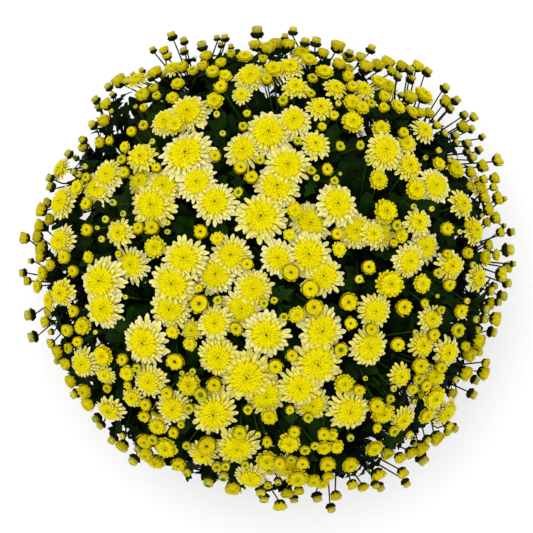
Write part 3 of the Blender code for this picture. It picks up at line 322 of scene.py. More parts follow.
BUTTON_SPOTS = (
    (118, 81, 15), (143, 95, 14), (106, 104, 13), (104, 121, 14), (132, 132, 11), (100, 143, 11),
    (83, 147, 10), (206, 56, 12), (203, 66, 11), (164, 50, 9), (255, 45, 12), (182, 67, 12),
    (155, 72, 13), (267, 79, 12), (215, 74, 14), (219, 96, 14), (154, 88, 10), (145, 126, 11),
    (247, 114, 9), (243, 127, 10), (277, 44, 15), (289, 44, 13), (268, 48, 14), (338, 46, 15),
    (339, 64, 13), (349, 69, 10), (348, 77, 12), (366, 66, 14), (378, 65, 14), (388, 62, 14),
    (350, 88, 12), (384, 97, 12), (371, 104, 9), (383, 108, 12), (333, 116, 11), (283, 102, 11),
    (402, 66, 13), (418, 66, 12), (410, 97, 14), (447, 101, 13), (463, 126, 13), (403, 133, 12),
    (420, 113, 11), (474, 117, 9), (437, 125, 9), (41, 210, 13), (47, 203, 10), (50, 219, 12),
    (39, 228, 12), (39, 236, 12), (24, 238, 12), (39, 246, 14), (40, 257, 11), (51, 265, 11),
    (66, 256, 14), (74, 271, 13), (87, 204, 13), (88, 230, 13), (125, 173, 12), (122, 160, 10),
    (139, 228, 12), (27, 281, 9), (214, 157, 14), (238, 193, 10), (254, 179, 14), (241, 168, 14),
    (153, 228, 16), (201, 232, 15), (247, 264, 14), (340, 147, 10), (360, 146, 10), (307, 172, 10),
    (327, 170, 13), (337, 234, 13), (290, 270, 18), (368, 267, 16), (262, 161, 9), (334, 183, 9),
    (359, 279, 10), (471, 172, 11), (483, 166, 13), (498, 160, 12), (470, 186, 10), (485, 198, 13),
    (498, 198, 12), (489, 209, 12), (446, 229, 14), (501, 232, 10), (446, 255, 10), (467, 253, 13),
    (502, 274, 14), (489, 245, 10), (494, 187, 9), (437, 273, 9), (467, 226, 9), (75, 312, 13),
    (45, 322, 11), (68, 330, 14), (79, 340, 12), (69, 348, 10), (56, 351, 14), (69, 363, 12),
    (125, 358, 12), (146, 405, 13), (146, 416, 13), (169, 393, 14), (174, 432, 12), (155, 436, 11),
    (145, 443, 16), (147, 451, 14), (179, 464, 14), (88, 404, 14), (85, 391, 14), (71, 381, 13),
    (122, 446, 13), (176, 361, 19), (187, 445, 10), (202, 305, 20), (237, 328, 15), (312, 292, 18),
    (312, 305, 18), (348, 302, 18), (350, 323, 13), (338, 349, 15), (293, 355, 14), (274, 300, 8),
    (282, 318, 10), (356, 388, 13), (212, 386, 17), (204, 391, 15), (275, 366, 16), (290, 409, 10),
    (240, 432, 16), (208, 444, 20), (267, 441, 12), (294, 431, 13), (304, 448, 11), (324, 433, 14),
    (327, 463, 17), (350, 464, 16), (278, 460, 14), (292, 458, 10), (300, 463, 14), (328, 476, 11),
    (312, 480, 14), (233, 488, 15), (280, 506, 13), (287, 493, 12), (336, 496, 11), (354, 486, 11),
    (299, 491, 10), (268, 485, 8), (403, 307, 19), (448, 284, 14), (460, 311, 15), (431, 335, 13),
    (457, 330, 15), (397, 344, 16), (370, 330, 13), (469, 354, 16), (479, 341, 16), (496, 319, 13),
    (491, 303, 11), (419, 365, 17), (440, 365, 14), (418, 377, 11), (426, 386, 12), (412, 388, 12),
    (452, 394, 11), (376, 405, 18), (466, 373, 15), (484, 373, 14), (437, 438, 14), (387, 453, 13),
    (400, 458, 12), (411, 453, 13), (420, 447, 16), (378, 476, 14), (403, 473, 12), (424, 303, 9),
    (438, 311, 9), (390, 398, 10), (167, 56, 9), (221, 63, 11), (231, 54, 10), (193, 71, 10),
    (157, 96, 9), (144, 108, 9), (110, 141, 9), (323, 53, 12), (312, 79, 11), (311, 95, 9),
    (322, 127, 9), (429, 113, 11), (495, 178, 11), (496, 218, 12), (508, 267, 11), (360, 57, 10),
    (392, 71, 10), (487, 222, 9), (48, 312, 10), (53, 344, 9), (108, 387, 10), (187, 472, 9),
    (217, 465, 11), (218, 300, 10), (315, 445, 9), (465, 346, 10), (486, 363, 9), (128, 385, 9),
    (263, 59, 9), (248, 409, 11), (377, 425, 10), (394, 428, 11), (264, 303, 9), (448, 432, 9),
    (192, 407, 11), (308, 417, 11), (395, 225, 11), (157, 168, 10), (296, 145, 9), (199, 288, 9),
    (393, 243, 9), (139, 368, 9), (244, 459, 9), (181, 421, 8), (119, 254, 8), (447, 423, 10),
    (227, 462, 10), (164, 74, 9), (87, 178, 9), (128, 80, 9), (484, 179, 9),
)
BUD_SPOTS = (
    (96, 100, 8), (93, 125, 9), (83, 140, 8), (153, 50, 7), (172, 36, 9), (184, 41, 8), (184, 51, 8),
    (202, 46, 10), (217, 38, 6), (225, 38, 8), (231, 47, 6), (257, 32, 12), (293, 31, 9),
    (285, 37, 7), (305, 43, 9), (316, 42, 10), (349, 54, 8), (371, 49, 9), (363, 70, 8),
    (398, 77, 8), (427, 72, 9), (445, 88, 9), (411, 79, 9), (401, 95, 6), (455, 101, 9),
    (464, 115, 8), (471, 129, 8), (482, 137, 7), (467, 144, 9), (479, 150, 8), (455, 136, 8),
    (444, 134, 8), (456, 143, 7), (69, 154, 8), (76, 158, 6), (74, 172, 7), (51, 187, 9),
    (31, 261, 6), (23, 273, 8), (98, 228, 6), (104, 239, 9), (114, 203, 9), (107, 220, 9),
    (124, 214, 8), (30, 315, 11), (33, 337, 10), (51, 332, 6), (58, 361, 7), (75, 394, 9),
    (97, 418, 9), (101, 425, 8), (113, 439, 10), (134, 460, 10), (209, 481, 11), (224, 475, 12),
    (260, 490, 10), (264, 498, 9), (278, 481, 8), (294, 499, 8), (317, 497, 10), (331, 508, 9),
    (380, 487, 9), (406, 483, 9), (422, 459, 12), (350, 437, 9), (417, 446, 7), (427, 439, 8),
    (454, 428, 9), (455, 379, 8), (472, 394, 10), (475, 380, 9), (478, 352, 9), (476, 330, 9),
    (492, 332, 10), (484, 318, 9), (475, 319, 8), (485, 310, 9), (498, 302, 7), (502, 296, 10),
    (490, 291, 9), (507, 283, 9), (494, 286, 7), (466, 301, 8), (437, 296, 5), (358, 279, 10),
    (193, 371, 8), (365, 378, 6), (408, 432, 9), (508, 250, 12), (513, 264, 6), (511, 232, 8),
    (504, 226, 5), (504, 199, 6), (481, 216, 5), (425, 158, 6), (449, 162, 7), (472, 158, 9),
    (403, 275, 5), (414, 401, 6), (126, 297, 6), (168, 232, 7), (223, 134, 8), (153, 142, 7),
    (112, 112, 6), (136, 107, 5), (142, 71, 7), (133, 76, 6), (113, 95, 7), (99, 107, 8),
    (110, 86, 8), (221, 45, 6), (151, 77, 8), (217, 115, 8), (86, 167, 7), (168, 223, 7),
    (52, 178, 8), (338, 104, 8), (315, 177, 8), (340, 174, 5), (438, 151, 7), (467, 152, 8),
    (431, 209, 7), (413, 207, 7), (459, 232, 7), (450, 109, 8), (410, 70, 9), (138, 448, 8),
    (123, 435, 7), (258, 434, 8), (393, 388, 8), (375, 483, 8), (182, 372, 6), (96, 332, 6),
    (368, 160, 7), (80, 175, 8), (415, 332, 7), (472, 265, 8),
)


def unit(vectors):
    """Vectors scaled to length one, along the last axis."""
    return vectors / np.linalg.norm(vectors, axis=-1, keepdims=True)


class Heads:
    """Every head of the plant as arrays: kind, centre, outward axis, radius and half thickness."""

    def __init__(self):
        self.kind = []
        self.centre = []
        self.axis = []
        self.radius = []

    def add(self, kind, centre, axis, radius):
        self.kind.append(kind)
        self.centre.append(centre)
        self.axis.append(axis)
        self.radius.append(radius)

    def close(self):
        self.centre = np.array(self.centre)
        self.axis = unit(np.array(self.axis))
        self.radius = np.array(self.radius)
        self.half = np.array([THICKNESS[kind] for kind in self.kind]) * self.radius
        self.home = self.centre.copy()
        self.count = len(self.kind)


def dome_spot(across, down, lift, rng):
    """Centre, axis and scale of a head at a photo pixel, along the line of sight.

    Heads grow towards the light, so inland they tilt out less than the dome slopes.
    """
    x = across - PHOTO_CENTRE[0]
    y = PHOTO_CENTRE[1] - down
    seen = math.hypot(x, y)
    drop = rng.uniform(0.0, RIM_DROP) if seen > RIM_FROM else 0.0
    stray = rng.uniform(-TURN_STRAY, TURN_STRAY)
    turned = min(max((seen - TURN_FROM) / TURN_OVER, 0.0), 1.0)
    scale = 1.0
    for _ in range(SIGHT_STEPS):
        share = min(seen * scale / DOME_RADIUS, RIM_SHARE)
        rise = DOME_RISE * math.sqrt(1.0 - share * share) - drop
        slope = math.atan2(seen * scale / DOME_RADIUS ** 2, rise / DOME_RISE ** 2)
        tilt = MOST_TILT * math.tanh(slope / MOST_TILT)
        tilt += (RIM_TILT[lift] + stray - tilt) * turned
        height = rise + LIFT[lift] * math.cos(tilt)
        scale = (EYE_HEIGHT - height) / EYE_HEIGHT
    centre = np.array([x * scale, y * scale, WIDEST_Z + height])
    turn = math.atan2(y, x)
    flat = math.sin(tilt)
    axis = np.array([flat * math.cos(turn), flat * math.sin(turn), math.cos(tilt)])
    return centre, axis, scale


def place_heads():
    """Heads at the photo's spots on the dome, then the unseen skirt below the widest plane."""
    rng = random.Random(LAYOUT_SEED)
    heads = Heads()
    seen = (
        ("open", "open", OPEN_SPOTS),
        ("open", "low", LOW_SPOTS),
        ("opening", "opening", OPENING_SPOTS),
        ("button", "button", BUTTON_SPOTS),
        ("bud", "bud", BUD_SPOTS),
    )
    for kind, lift, spots in seen:
        for across, down, width in spots:
            centre, axis, scale = dome_spot(across, down, lift, rng)
            heads.add(kind, centre, axis, 0.5 * width * scale)
    for kind, count, small, large in SKIRT:
        start = rng.uniform(0.0, 2.0 * math.pi)
        for i in range(count):
            turn = start + 2.0 * math.pi * (i + rng.uniform(*SKIRT_STRAY)) / count
            out = rng.uniform(*SKIRT_OUT)
            flat = np.array([math.cos(turn), math.sin(turn), 0.0])
            point = flat * SKIRT_RADIUS * out
            point[2] = WIDEST_Z - SKIRT_DROP * math.sqrt(1.0 - out * out)
            axis = flat + np.array([0.0, 0.0, rng.uniform(*SKIRT_LIFT)])
            heads.add(kind, point, unit(axis), 0.5 * rng.uniform(small, large))
    heads.close()
    return heads


def turned(side, up, angle):
    """Direction at an angle from one direction towards another."""
    return side * math.cos(angle) + up * math.sin(angle)


def spokes(side, up, count):
    """Directions all round, evenly, from one direction over another."""
    angles = 2.0 * math.pi * np.arange(count) / count
    return side * np.cos(angles)[:, None] + up * np.sin(angles)[:, None]


def head_reach(axis, radius, half, way):
    """How far a flat round head reaches along a direction."""
    level = np.sum(axis * way, axis=-1)
    return np.sqrt(np.maximum(radius ** 2 * (1.0 - level ** 2) + (half * level) ** 2, 0.0))


def depth_between(heads, i, j):
    """Least depth by which heads i and j cross, over five directions, and the direction of it."""
    gap = heads.centre[j] - heads.centre[i]
    line = unit(gap + 1e-9)
    middle = unit(heads.axis[i] + heads.axis[j])
    side = np.sign(np.sum(gap * middle, axis=-1, keepdims=True) + 1e-9)
    ways = np.stack([
        line, heads.axis[i] * side, heads.axis[j] * side, middle * side, unit(line + middle * side),
    ])
    near = head_reach(heads.axis[i], heads.radius[i], heads.half[i], ways)
    far = head_reach(heads.axis[j], heads.radius[j], heads.half[j], ways)
    depth = near + far + HEAD_GAP - np.sum(gap * ways, axis=-1)
    best = np.argmin(depth, axis=0)
    rows = np.arange(len(i))
    return depth[best, rows], ways[best, rows]


def near_pairs(heads, extra):
    """Pairs of heads whose centres lie within the sum of their radii and some extra."""
    first, second = np.triu_indices(heads.count, 1)
    apart = np.linalg.norm(heads.centre[first] - heads.centre[second], axis=1)
    keep = apart < heads.radius[first] + heads.radius[second] + extra
    return first[keep], second[keep]


def group_blooms(heads):
    """Large open blooms in groups, one for each node, and the ties between those of a group."""
    large = [
        k for k in range(heads.count)
        if heads.kind[k] == "open" and 2.0 * heads.radius[k] >= OWN_NODE_WIDTH
    ]
    group = {k: [k] for k in large}
    ties = []
    first, second = near_pairs(heads, 0.0)
    depth, _ = depth_between(heads, first, second)
    for pair in np.argsort(-depth):
        a, b = int(first[pair]), int(second[pair])
        if len(large) - len(ties) <= BLOOM_NODES:
            break
        if a not in group or b not in group or group[a] is group[b] or depth[pair] <= 0.0:
            continue
        if len(group[a]) + len(group[b]) > BLOOMS_A_NODE:
            continue
        ties.append((a, b))
        merged = sorted(group[a] + group[b])
        for k in merged:
            group[k] = merged
    groups = []
    for k in large:
        if group[k] not in groups:
            groups.append(group[k])
    return groups, np.array(ties)


def relax(heads, groups, ties):
    """Slide heads apart where they cross, small ones most, and tied blooms into each other."""
    owner = np.full(heads.count, -1)
    for number, members in enumerate(groups):
        owner[members] = number
    first, second = near_pairs(heads, RELAX_REACH)
    apart = (owner[first] != owner[second]) | (owner[first] < 0)
    first, second = first[apart], second[apart]
    ease = 1.0 / heads.radius
    share = (ease[first] / (ease[first] + ease[second]))[:, None]
    tied_depth = TIE_SHARE * np.minimum(heads.radius[ties[:, 0]], heads.radius[ties[:, 1]])
    for step in range(RELAX_STEPS):
        depth, way = depth_between(heads, first, second)
        push = np.maximum(depth, 0.0)[:, None] * way
        move = np.zeros_like(heads.centre)
        hits = np.zeros(heads.count)
        np.add.at(move, first, -push * share)
        np.add.at(move, second, push * (1.0 - share))
        np.add.at(hits, first, depth > 0.0)
        np.add.at(hits, second, depth > 0.0)
        depth, way = depth_between(heads, ties[:, 0], ties[:, 1])
        pull = TIE_PULL * np.maximum(tied_depth - depth, 0.0)[:, None] * way
        np.add.at(move, ties[:, 0], pull)
        np.add.at(move, ties[:, 1], -pull)
        heads.centre += move / np.maximum(hits, 1.0)[:, None] ** 0.5
        if step < RELAX_STEPS * HOME_UNTIL:
            heads.centre += HOME_PULL * (heads.home - heads.centre)


def frame_at(axis, hint):
    """Two unit vectors square to an axis, the first one nearest to the hint."""
    side = hint - axis * float(np.dot(hint, axis))
    if np.linalg.norm(side) < 1e-6:
        side = np.cross(axis, SPARE_HINT)
    side = unit(side)
    return side, np.cross(axis, side)


def stalk_end_ring(path, end_way, hint):
    """Last ring of a solid stalk, which is mitred at its bends and square to its head."""
    legs = [unit(after - before) for before, after in zip(path[:-1], path[1:])]
    ring = path[0] + spokes(*frame_at(legs[0], hint), STALK_SIDES) * STALK_RADIUS
    for i, leg in enumerate(legs):
        plane = end_way if i == len(legs) - 1 else unit(leg + legs[i + 1])
        rise = (path[i + 1] - ring) @ plane / float(np.dot(leg, plane))
        ring = ring + rise[:, None] * leg
    return ring


def head_hint(axis, number):
    """Direction that a head's first petal points in; each head is turned by its own amount."""
    upright = abs(axis[2]) > 0.99
    side, up = frame_at(axis, np.array([1.0, 0.0, 0.0]) if upright else UPRIGHT)
    return turned(side, up, GOLDEN_ANGLE * number)


def spray_plan():
    """Path of each main stem out of the soil, and the direction of the cone that its spray fills."""
    stems, ways = [], []
    for count, foot_ring, lean, phase in SPRAY_RINGS:
        for i in range(count):
            turn = 2.0 * math.pi * (i + phase) / count
            flat = np.array([math.cos(turn), math.sin(turn), 0.0])
            tilt = math.radians(lean)
            foot = flat * foot_ring
            way = flat * math.sin(tilt) + np.array([0.0, 0.0, math.cos(tilt)])
            out = foot + np.array([0.0, 0.0, SOIL_TOP + STEM_UPRIGHT])
            end = SPRAY_BASE + way * (dome_reach(way) - STEM_END_DEPTH)
            bend = out + (end - out) * STEM_BEND
            bend[2] += STEM_ARCH * (1.0 - way[2])
            stems.append([foot + np.array([0.0, 0.0, STEM_FOOT_Z]), out, bend, end])
            ways.append(way)
    return stems, np.array(ways)


def dome_reach(way):
    """Distance from the base of the sprays to the dome along a direction."""
    far = 0.0
    while far < 2.0 * DOME_RADIUS:
        point = SPRAY_BASE + way * (far + 1.0)
        rise = max(point[2] - WIDEST_Z, 0.0)
        if (point[0] ** 2 + point[1] ** 2) / DOME_RADIUS ** 2 + (rise / DOME_RISE) ** 2 > 1.0:
            break
        far += 1.0
    return far


def stem_point(path, share):
    """Point at a share of the way along the last two legs of a main stem."""
    _, lower, middle, upper = path
    if share < 0.5:
        return lower + (middle - lower) * share * 2.0
    return middle + (upper - middle) * (share - 0.5) * 2.0


def stalk_foot(path, target, slot):
    """Where on the main stem a stalk leaves it: low enough to rise towards its head."""
    tip = unit(path[3] - path[2])
    costs = []
    points = []
    for k in range(FOOT_TRIES):
        point = stem_point(path, FOOT_LOWEST + (1.0 - FOOT_LOWEST) * (k + 0.5 * slot) / FOOT_TRIES)
        lean = float(np.dot(unit(target - point), tip))
        far = float(np.linalg.norm(target - point))
        costs.append(far * (1.0 + FOOT_LEAN_COST * max(0.0, FOOT_LEAN - lean)))
        points.append(point)
    return points[int(np.argmin(costs))]


def stalk_paths(path, back, axis, slot):
    """Ways for a stalk to reach the back of a head: straight, then by knees under the head."""
    side, up = frame_at(axis, UPRIGHT)
    foot = stalk_foot(path, back - axis * STALK_BACK, slot)
    paths = [[foot, back]] if float(np.dot(unit(back - foot), axis)) > STALK_STRAIGHT_FROM else []
    paths.append([foot, back - axis * STALK_BACK, back])
    for count, phase, back_share, room_share in KNEES:
        for i in range(count):
            aside = turned(side, up, 2.0 * math.pi * (i + phase) / count)
            knee = back - axis * STALK_BACK * back_share + aside * STALK_ROOM * room_share
            paths.append([foot, knee, back])
    return paths


def spray_trees(count):
    """Search tree over the points of each spray's solid, in millimetres."""
    trees = []
    for number in range(count):
        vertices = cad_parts[f"spray_{number + 1:02d}"].data.vertices
        tree = KDTree(len(vertices))
        for i, vertex in enumerate(vertices):
            tree.insert(vertex.co / MM, i)
        tree.balance()
        trees.append(tree)
    return trees


def has_points(tree, points, least):
    """Whether a solid has a point at this many of the given ones."""
    found = sum(tree.find(Vector(point))[2] < SAME_POINT for point in points)
    return found >= least


def inside_heads(heads, points, spared):
    """How many of some points lie in or just behind a head other than the spared one."""
    gap = points[:, None] - heads.centre[None]
    level = np.sum(gap * heads.axis, axis=2)
    aside = np.sqrt(np.maximum(np.sum(gap * gap, axis=2) - level ** 2, 0.0))
    inside = (aside < heads.radius + HEAD_ROOM) & (np.abs(level) < heads.half + HEAD_ROOM)
    if spared is not None:
        inside[:, spared] = False
    return int(inside.sum())


def find_route(heads, k, back, stems, ways, trees):
    """Spray and stalk path of a head: the solid's where it has one, or else the clearest."""
    axis = heads.axis[k]
    nearest = np.argsort(-(unit(heads.centre[k] - SPRAY_BASE) @ ways.T))[:SPRAYS_TRIED]
    options = []
    for s in nearest:
        for path in stalk_paths(stems[s], back, axis, k % 2):
            if has_points(trees[s], stalk_end_ring(path, axis, head_hint(axis, k)), 2):
                return int(s), path
            options.append((int(s), path))
    costs = []
    for _, path in options:
        legs = [a + (b - a) * ROUTE_SHARES for a, b in zip(path[:-1], path[1:])]
        costs.append(inside_heads(heads, np.concatenate(legs), k))
    return options[int(np.argmin(costs))]


class Skin:
    """Closed blades, tubes and turned bodies of one piece, gathered before its mesh is made."""

    def __init__(self):
        self.points = []
        self.quads = []
        self.tris = []
        self.tint = []
        self.form = []
        self.count = 0

    def add(self, points, quads, tris, tint, form):
        """Points with faces that number them from nought, their colour, and three form values."""
        self.points.append(points)
        self.quads.append(np.asarray(quads, dtype=int).reshape(-1, 4) + self.count)
        self.tris.append(np.asarray(tris, dtype=int).reshape(-1, 3) + self.count)
        self.tint.append(np.broadcast_to(tint, (len(points), 3)))
        self.form.append(np.broadcast_to(form, (len(points), 3)))
        self.count += len(points)


def smooth(value, low, high):
    """Smooth step from 0 at the low value to 1 at the high one."""
    share = np.clip((np.asarray(value) - low) / (high - low), 0.0, 1.0)
    return share * share * (3.0 - 2.0 * share)


def mixed(first, second, share):
    """Blend of two colours by a share, which may be an array."""
    share = np.asarray(share)[..., None]
    return first * (1.0 - share) + second * share


# Faces that close the foot of a blade, by how many points its rings have
BLADE_FEET = {3: [(0, 1, 2)], 4: [(0, 1, 2, 3)], 8: [(0, 1, 2, 3), (0, 3, 4, 7), (4, 5, 6, 7)]}


def blade_faces(steps, sides):
    """Faces of one blade: rings of points, closed at the foot, then a tip point."""
    quads = [face for face in BLADE_FEET[sides] if len(face) == 4]
    tris = [face for face in BLADE_FEET[sides] if len(face) == 3]
    for k in range(sides):
        m = (k + 1) % sides
        for j in range(steps - 1):
            a, b = sides * j, sides * (j + 1)
            quads.append((a + k, b + k, b + m, a + m))
        tris.append((sides * (steps - 1) + k, sides * steps, sides * (steps - 1) + m))
    return np.array(quads), np.array(tris)


def tube_faces(count, sides):
    """Faces of a body of rings of points, closed at each end by one of its two last points."""
    quads, tris = [], []
    low, high = sides * count, sides * count + 1
    last = sides * (count - 1)
    for k in range(sides):
        m = (k + 1) % sides
        for i in range(count - 1):
            a, b = sides * i, sides * (i + 1)
            quads.append((a + k, a + m, b + m, b + k))
        tris.append((low, m, k))
        tris.append((last + k, last + m, high))
    return quads, tris


def add_blades(
        skin, place, turns, spines, widths, outline, cup, thick, dyes, roll, sway, chance, ridged=False,
):
    """Petals or bracts of one row round an axis, each a thin closed blade along a curved spine.

    A spine is three control points, out from the axis and up along it. The dyes are the colours
    at the foot, the middle and the tip. A ridged blade is flat below, with a ridge on top.
    """
    origin, side, up, axis = place
    along = np.array([share for share, _ in outline])
    wide = np.array([width for _, width in outline])
    count, steps = len(turns), len(outline) - 1
    cos, sin = np.cos(turns)[:, None], np.sin(turns)[:, None]
    out = (side * cos + up * sin)[:, None]
    across = (up * cos - side * sin)[:, None]
    t = along[None, :, None]
    first, second, third = (spines[:, None, i] for i in range(3))
    curve = (1.0 - t) ** 2 * first + 2.0 * t * (1.0 - t) * second + t ** 2 * third
    slope = unit((1.0 - t) * (second - first) + t * (third - second) + 1e-9)
    spine = origin + out * curve[..., :1] + axis * curve[..., 1:]
    spine = spine + across * (sway * widths)[:, None, None] * t ** 2
    normal = axis * slope[..., :1] - out * slope[..., 1:]
    turn = roll[:, None, None] * t
    edge = across * np.cos(turn) + normal * np.sin(turn)
    face = normal * np.cos(turn) - across * np.sin(turn)
    half = 0.5 * widths[:, None, None] * wide[None, :, None]
    raised = face * cup * half
    left, right = spine - edge * half + raised, spine + edge * half + raised
    skin_thick = face * thick * np.minimum(1.0, 1.4 * wide)[None, :, None]
    ring = [left, spine + skin_thick, right] if ridged else [left, spine, right, spine - skin_thick]
    sides = len(ring)
    rings = np.stack(ring, axis=2)[:, :-1]
    size = sides * steps + 1
    points = np.concatenate([rings.reshape(count, size - 1, 3), spine[:, -1:]], axis=1)
    quads, tris = blade_faces(steps, sides)
    shift = np.arange(count)[:, None, None] * size
    reach = np.append(np.repeat(along[:-1], sides), 1.0)
    foot, middle, tip = dyes
    colour = mixed(mixed(foot, middle, smooth(reach, *FOOT_FADE)), tip, smooth(reach, *TIP_FADE))
    colour = colour[None] * (LEAST_TONE + TONE_SPREAD * chance)[:, None, None]
    form = np.zeros((count, size, 3))
    form[..., 0] = reach
    form[..., 1] = np.append(np.tile([-1.0, 0.0, 1.0, 0.0][:sides], steps), 0.0)
    form[..., 2] = chance[:, None]
    skin.add(
        points.reshape(-1, 3), (quads[None] + shift).reshape(-1, 4),
        (tris[None] + shift).reshape(-1, 3), colour.reshape(-1, 3), form.reshape(-1, 3),
    )


def add_turned(skin, place, profile, scale, sides, dyes):
    """Round body on an axis from a profile of radius and rise, whose ends lie on the axis."""
    origin, side, up, axis = place
    profile, dyes = np.array(profile) * scale, np.array(dyes)
    inner = profile[1:-1]
    rings = origin + spokes(side, up, sides)[None] * inner[:, None, :1] + axis * inner[:, None, 1:]
    ends = origin + axis * profile[[0, -1], 1:]
    points = np.concatenate([rings.reshape(-1, 3), ends])
    tint = np.concatenate([np.repeat(dyes[1:-1], sides, axis=0), dyes[[0, -1]]])
    rise = np.linspace(0.0, 1.0, len(profile))
    form = np.full((len(points), 3), (0.0, 0.0, 0.5))
    form[:, 0] = np.concatenate([np.repeat(rise[1:-1], sides), rise[[0, -1]]])
    skin.add(points, *tube_faces(len(inner), sides), tint, form)


def rounded_path(path, rounds):
    """Path with its corners cut off again and again, so that it bends smoothly."""
    points = np.array(path)
    for _ in range(rounds):
        near = points[:-1] * 0.75 + points[1:] * 0.25
        far = points[:-1] * 0.25 + points[1:] * 0.75
        middle = np.stack([near, far], axis=1).reshape(-1, 3)[1:-1]
        points = np.concatenate([points[:1], middle, points[-1:]])
    return points


def add_tube(skin, points, radii, sides, tint, chance=0.5):
    """Round stem along a smooth path, with its ends closed."""
    ways = unit(np.gradient(points, axis=0))
    side, _ = frame_at(ways[0], TUBE_HINT)
    rings = []
    for point, way, radius in zip(points, ways, radii):
        side, up = frame_at(way, side)
        rings.append(point + spokes(side, up, sides) * radius)
    every = np.concatenate(rings + [points[:1], points[-1:]])
    tint = np.broadcast_to(tint, (len(rings), 3))
    tint = np.concatenate([np.repeat(tint, sides, axis=0), tint[[0, -1]]])
    skin.add(every, *tube_faces(len(rings), sides), tint, (0.0, 0.0, chance))


def add_leaf(skin, foot, way, hint, length, neck, rng):
    """Lobed leaf on its stalk: a thin closed blade, folded up from its midrib and drooping."""
    side, up = frame_at(way, hint)
    half = np.array(LEAF_HALF)
    u, v, vein = half.T
    rib = np.maximum(u - VEIN_SLANT * v, 0.0)
    fold = rng.uniform(*LEAF_FOLD)
    wave = rng.uniform(*LEAF_WAVE)
    phase = rng.uniform(0.0, 6.0)
    age = rng.uniform(0.0, 1.0)

    def surface(along, across, lift):
        ripple = wave * np.sin(WAVES * along + phase + 2.0 * np.sign(across)) * np.abs(across) * 3.0
        rise = fold * np.abs(across) + ripple - LEAF_DROOP * along ** 2 + lift / length
        return (
            foot + way * neck
            + (way * along[:, None] + side * across[:, None] + up * rise[:, None]) * length
        )

    middle, skin_half = 0.5 * (rib + u), 0.5 * LEAF_SKIN
    quilt = LEAF_QUILT * length * (1.0 - vein)
    rings = np.stack([
        surface(u, -v, 0.0 * u),
        surface(middle, -0.5 * v, quilt + skin_half),
        surface(rib, 0.0 * v, skin_half + 0.0 * u),
        surface(middle, 0.5 * v, quilt + skin_half),
        surface(u, v, 0.0 * u),
        surface(middle, 0.5 * v, quilt - skin_half),
        surface(rib, 0.0 * v, -skin_half - RIB_DEPTH + 0.0 * u),
        surface(middle, -0.5 * v, quilt - skin_half),
    ], axis=1)
    count = len(half)
    tip = surface(np.array([1.0]), np.array([0.0]), 0.0)
    points = np.concatenate([rings.reshape(-1, 3), tip])
    form = np.zeros(rings.shape)
    form[..., 0] = u[:, None]
    form[..., 1] = vein[:, None] * np.array([0.6, 0.8, 1.0, 0.8] * 2)
    form[:, [2, 6], 1] = 1.0
    form[..., 2] = age
    form = np.concatenate([form.reshape(-1, 3), [[1.0, 0.3, age]]])
    tint = mixed(DARK_GREEN, LEAF_GREEN, np.full(len(points), age))
    skin.add(points, *blade_faces(*rings.shape[:2]), tint, form)
    bend = [foot, foot + way * neck * 0.5 - up * 0.02 * neck, foot + way * (neck + 0.04 * length)]
    green = mixed(DARK_GREEN, STALK_GREEN, 0.3)
    add_tube(skin, rounded_path(bend, 1), np.linspace(*LEAF_TAPER, 4), 4, green, age)


def stem_leaf(stem, way, turn, ranges, blade_share, least, rng):
    """Leaf from a main stem towards the dome, or None where it would be too short or too steep.

    The ranges are those of its spread, how near it comes to the dome, its foot and its length.
    """
    spreads, reaches, feet, lengths = ranges
    aside = turned(*frame_at(way, LEAF_HINT), turn)
    lead = unit(way + rng.uniform(*spreads) * aside)
    tip = SPRAY_BASE + lead * dome_reach(lead) * rng.uniform(*reaches)
    foot = stem_point(stem, rng.uniform(*feet))
    length = min(rng.uniform(*lengths), float(np.linalg.norm(tip - foot)) * blade_share)
    return leaf_between(foot, tip, length) if length >= least else None


def leaf_between(foot, tip, length):
    """Foot, direction, hint across it, length and stalk of a leaf, or None where it is too steep.

    The hint is such that the leaf's upper face looks out of the plant.
    """
    lead = unit(tip - foot)
    out = unit(np.array([tip[0], tip[1], (tip[2] - SPRAY_BASE[2]) * LEAF_FLATTEN]))
    hint = np.cross(out, lead)
    if np.linalg.norm(hint) < LEAF_LEAST_TURN:
        return None
    return foot, lead, unit(hint), length, float(np.linalg.norm(tip - foot)) - length


def solid_leaves(stems, ways, trees):
    """The leaves of the solids, found by repeating their draws until a tip is on the solid."""
    rng = random.Random(LAYOUT_SEED + 1)
    ranges = LEAF_SPREAD, LEAF_REACH, LEAF_FOOT, LEAF_LENGTH
    found = []
    for number, (stem, way) in enumerate(zip(stems, ways)):
        for place in range(LEAVES_A_SPRAY):
            for _ in range(LEAF_TRIES):
                turn = place + rng.uniform(-LEAF_STRAY, LEAF_STRAY)
                turn = 2.0 * math.pi * turn / LEAVES_A_SPRAY
                leaf = stem_leaf(stem, way, turn, ranges, LEAF_BLADE_SHARE, LEAF_LENGTH[0], rng)
                if leaf is None:
                    continue
                foot, lead, hint, length, neck = leaf
                _, up = frame_at(lead, hint)
                tip = foot + lead * (neck + length) - up * LEAF_DROOP * length
                if has_points(trees[number], [tip], 1):
                    found.append((number, leaf))
                    break
    return found


def extra_leaf(stem, way, place, heads, rng):
    """One more leaf on a main stem, under the heads and clear of them, or None."""
    ranges = EXTRA_SPREAD, EXTRA_REACH, EXTRA_FOOT, EXTRA_LENGTH
    for _ in range(EXTRA_TRIES):
        turn = GOLDEN_ANGLE * place + rng.uniform(-EXTRA_STRAY, EXTRA_STRAY)
        leaf = stem_leaf(stem, way, turn, ranges, EXTRA_BLADE_SHARE, EXTRA_LEAST, rng)
        if leaf is None:
            continue
        foot, lead, hint, length, neck = leaf
        rib = foot + lead * (neck + length * RIB_SHARES)
        wing = hint * RIB_WING * length
        if np.hypot(*seen_at(rib[-1])) > LEAF_RIM:
            continue
        if inside_heads(heads, np.concatenate([rib, rib + wing, rib - wing]), None) == 0:
            return leaf
    return None


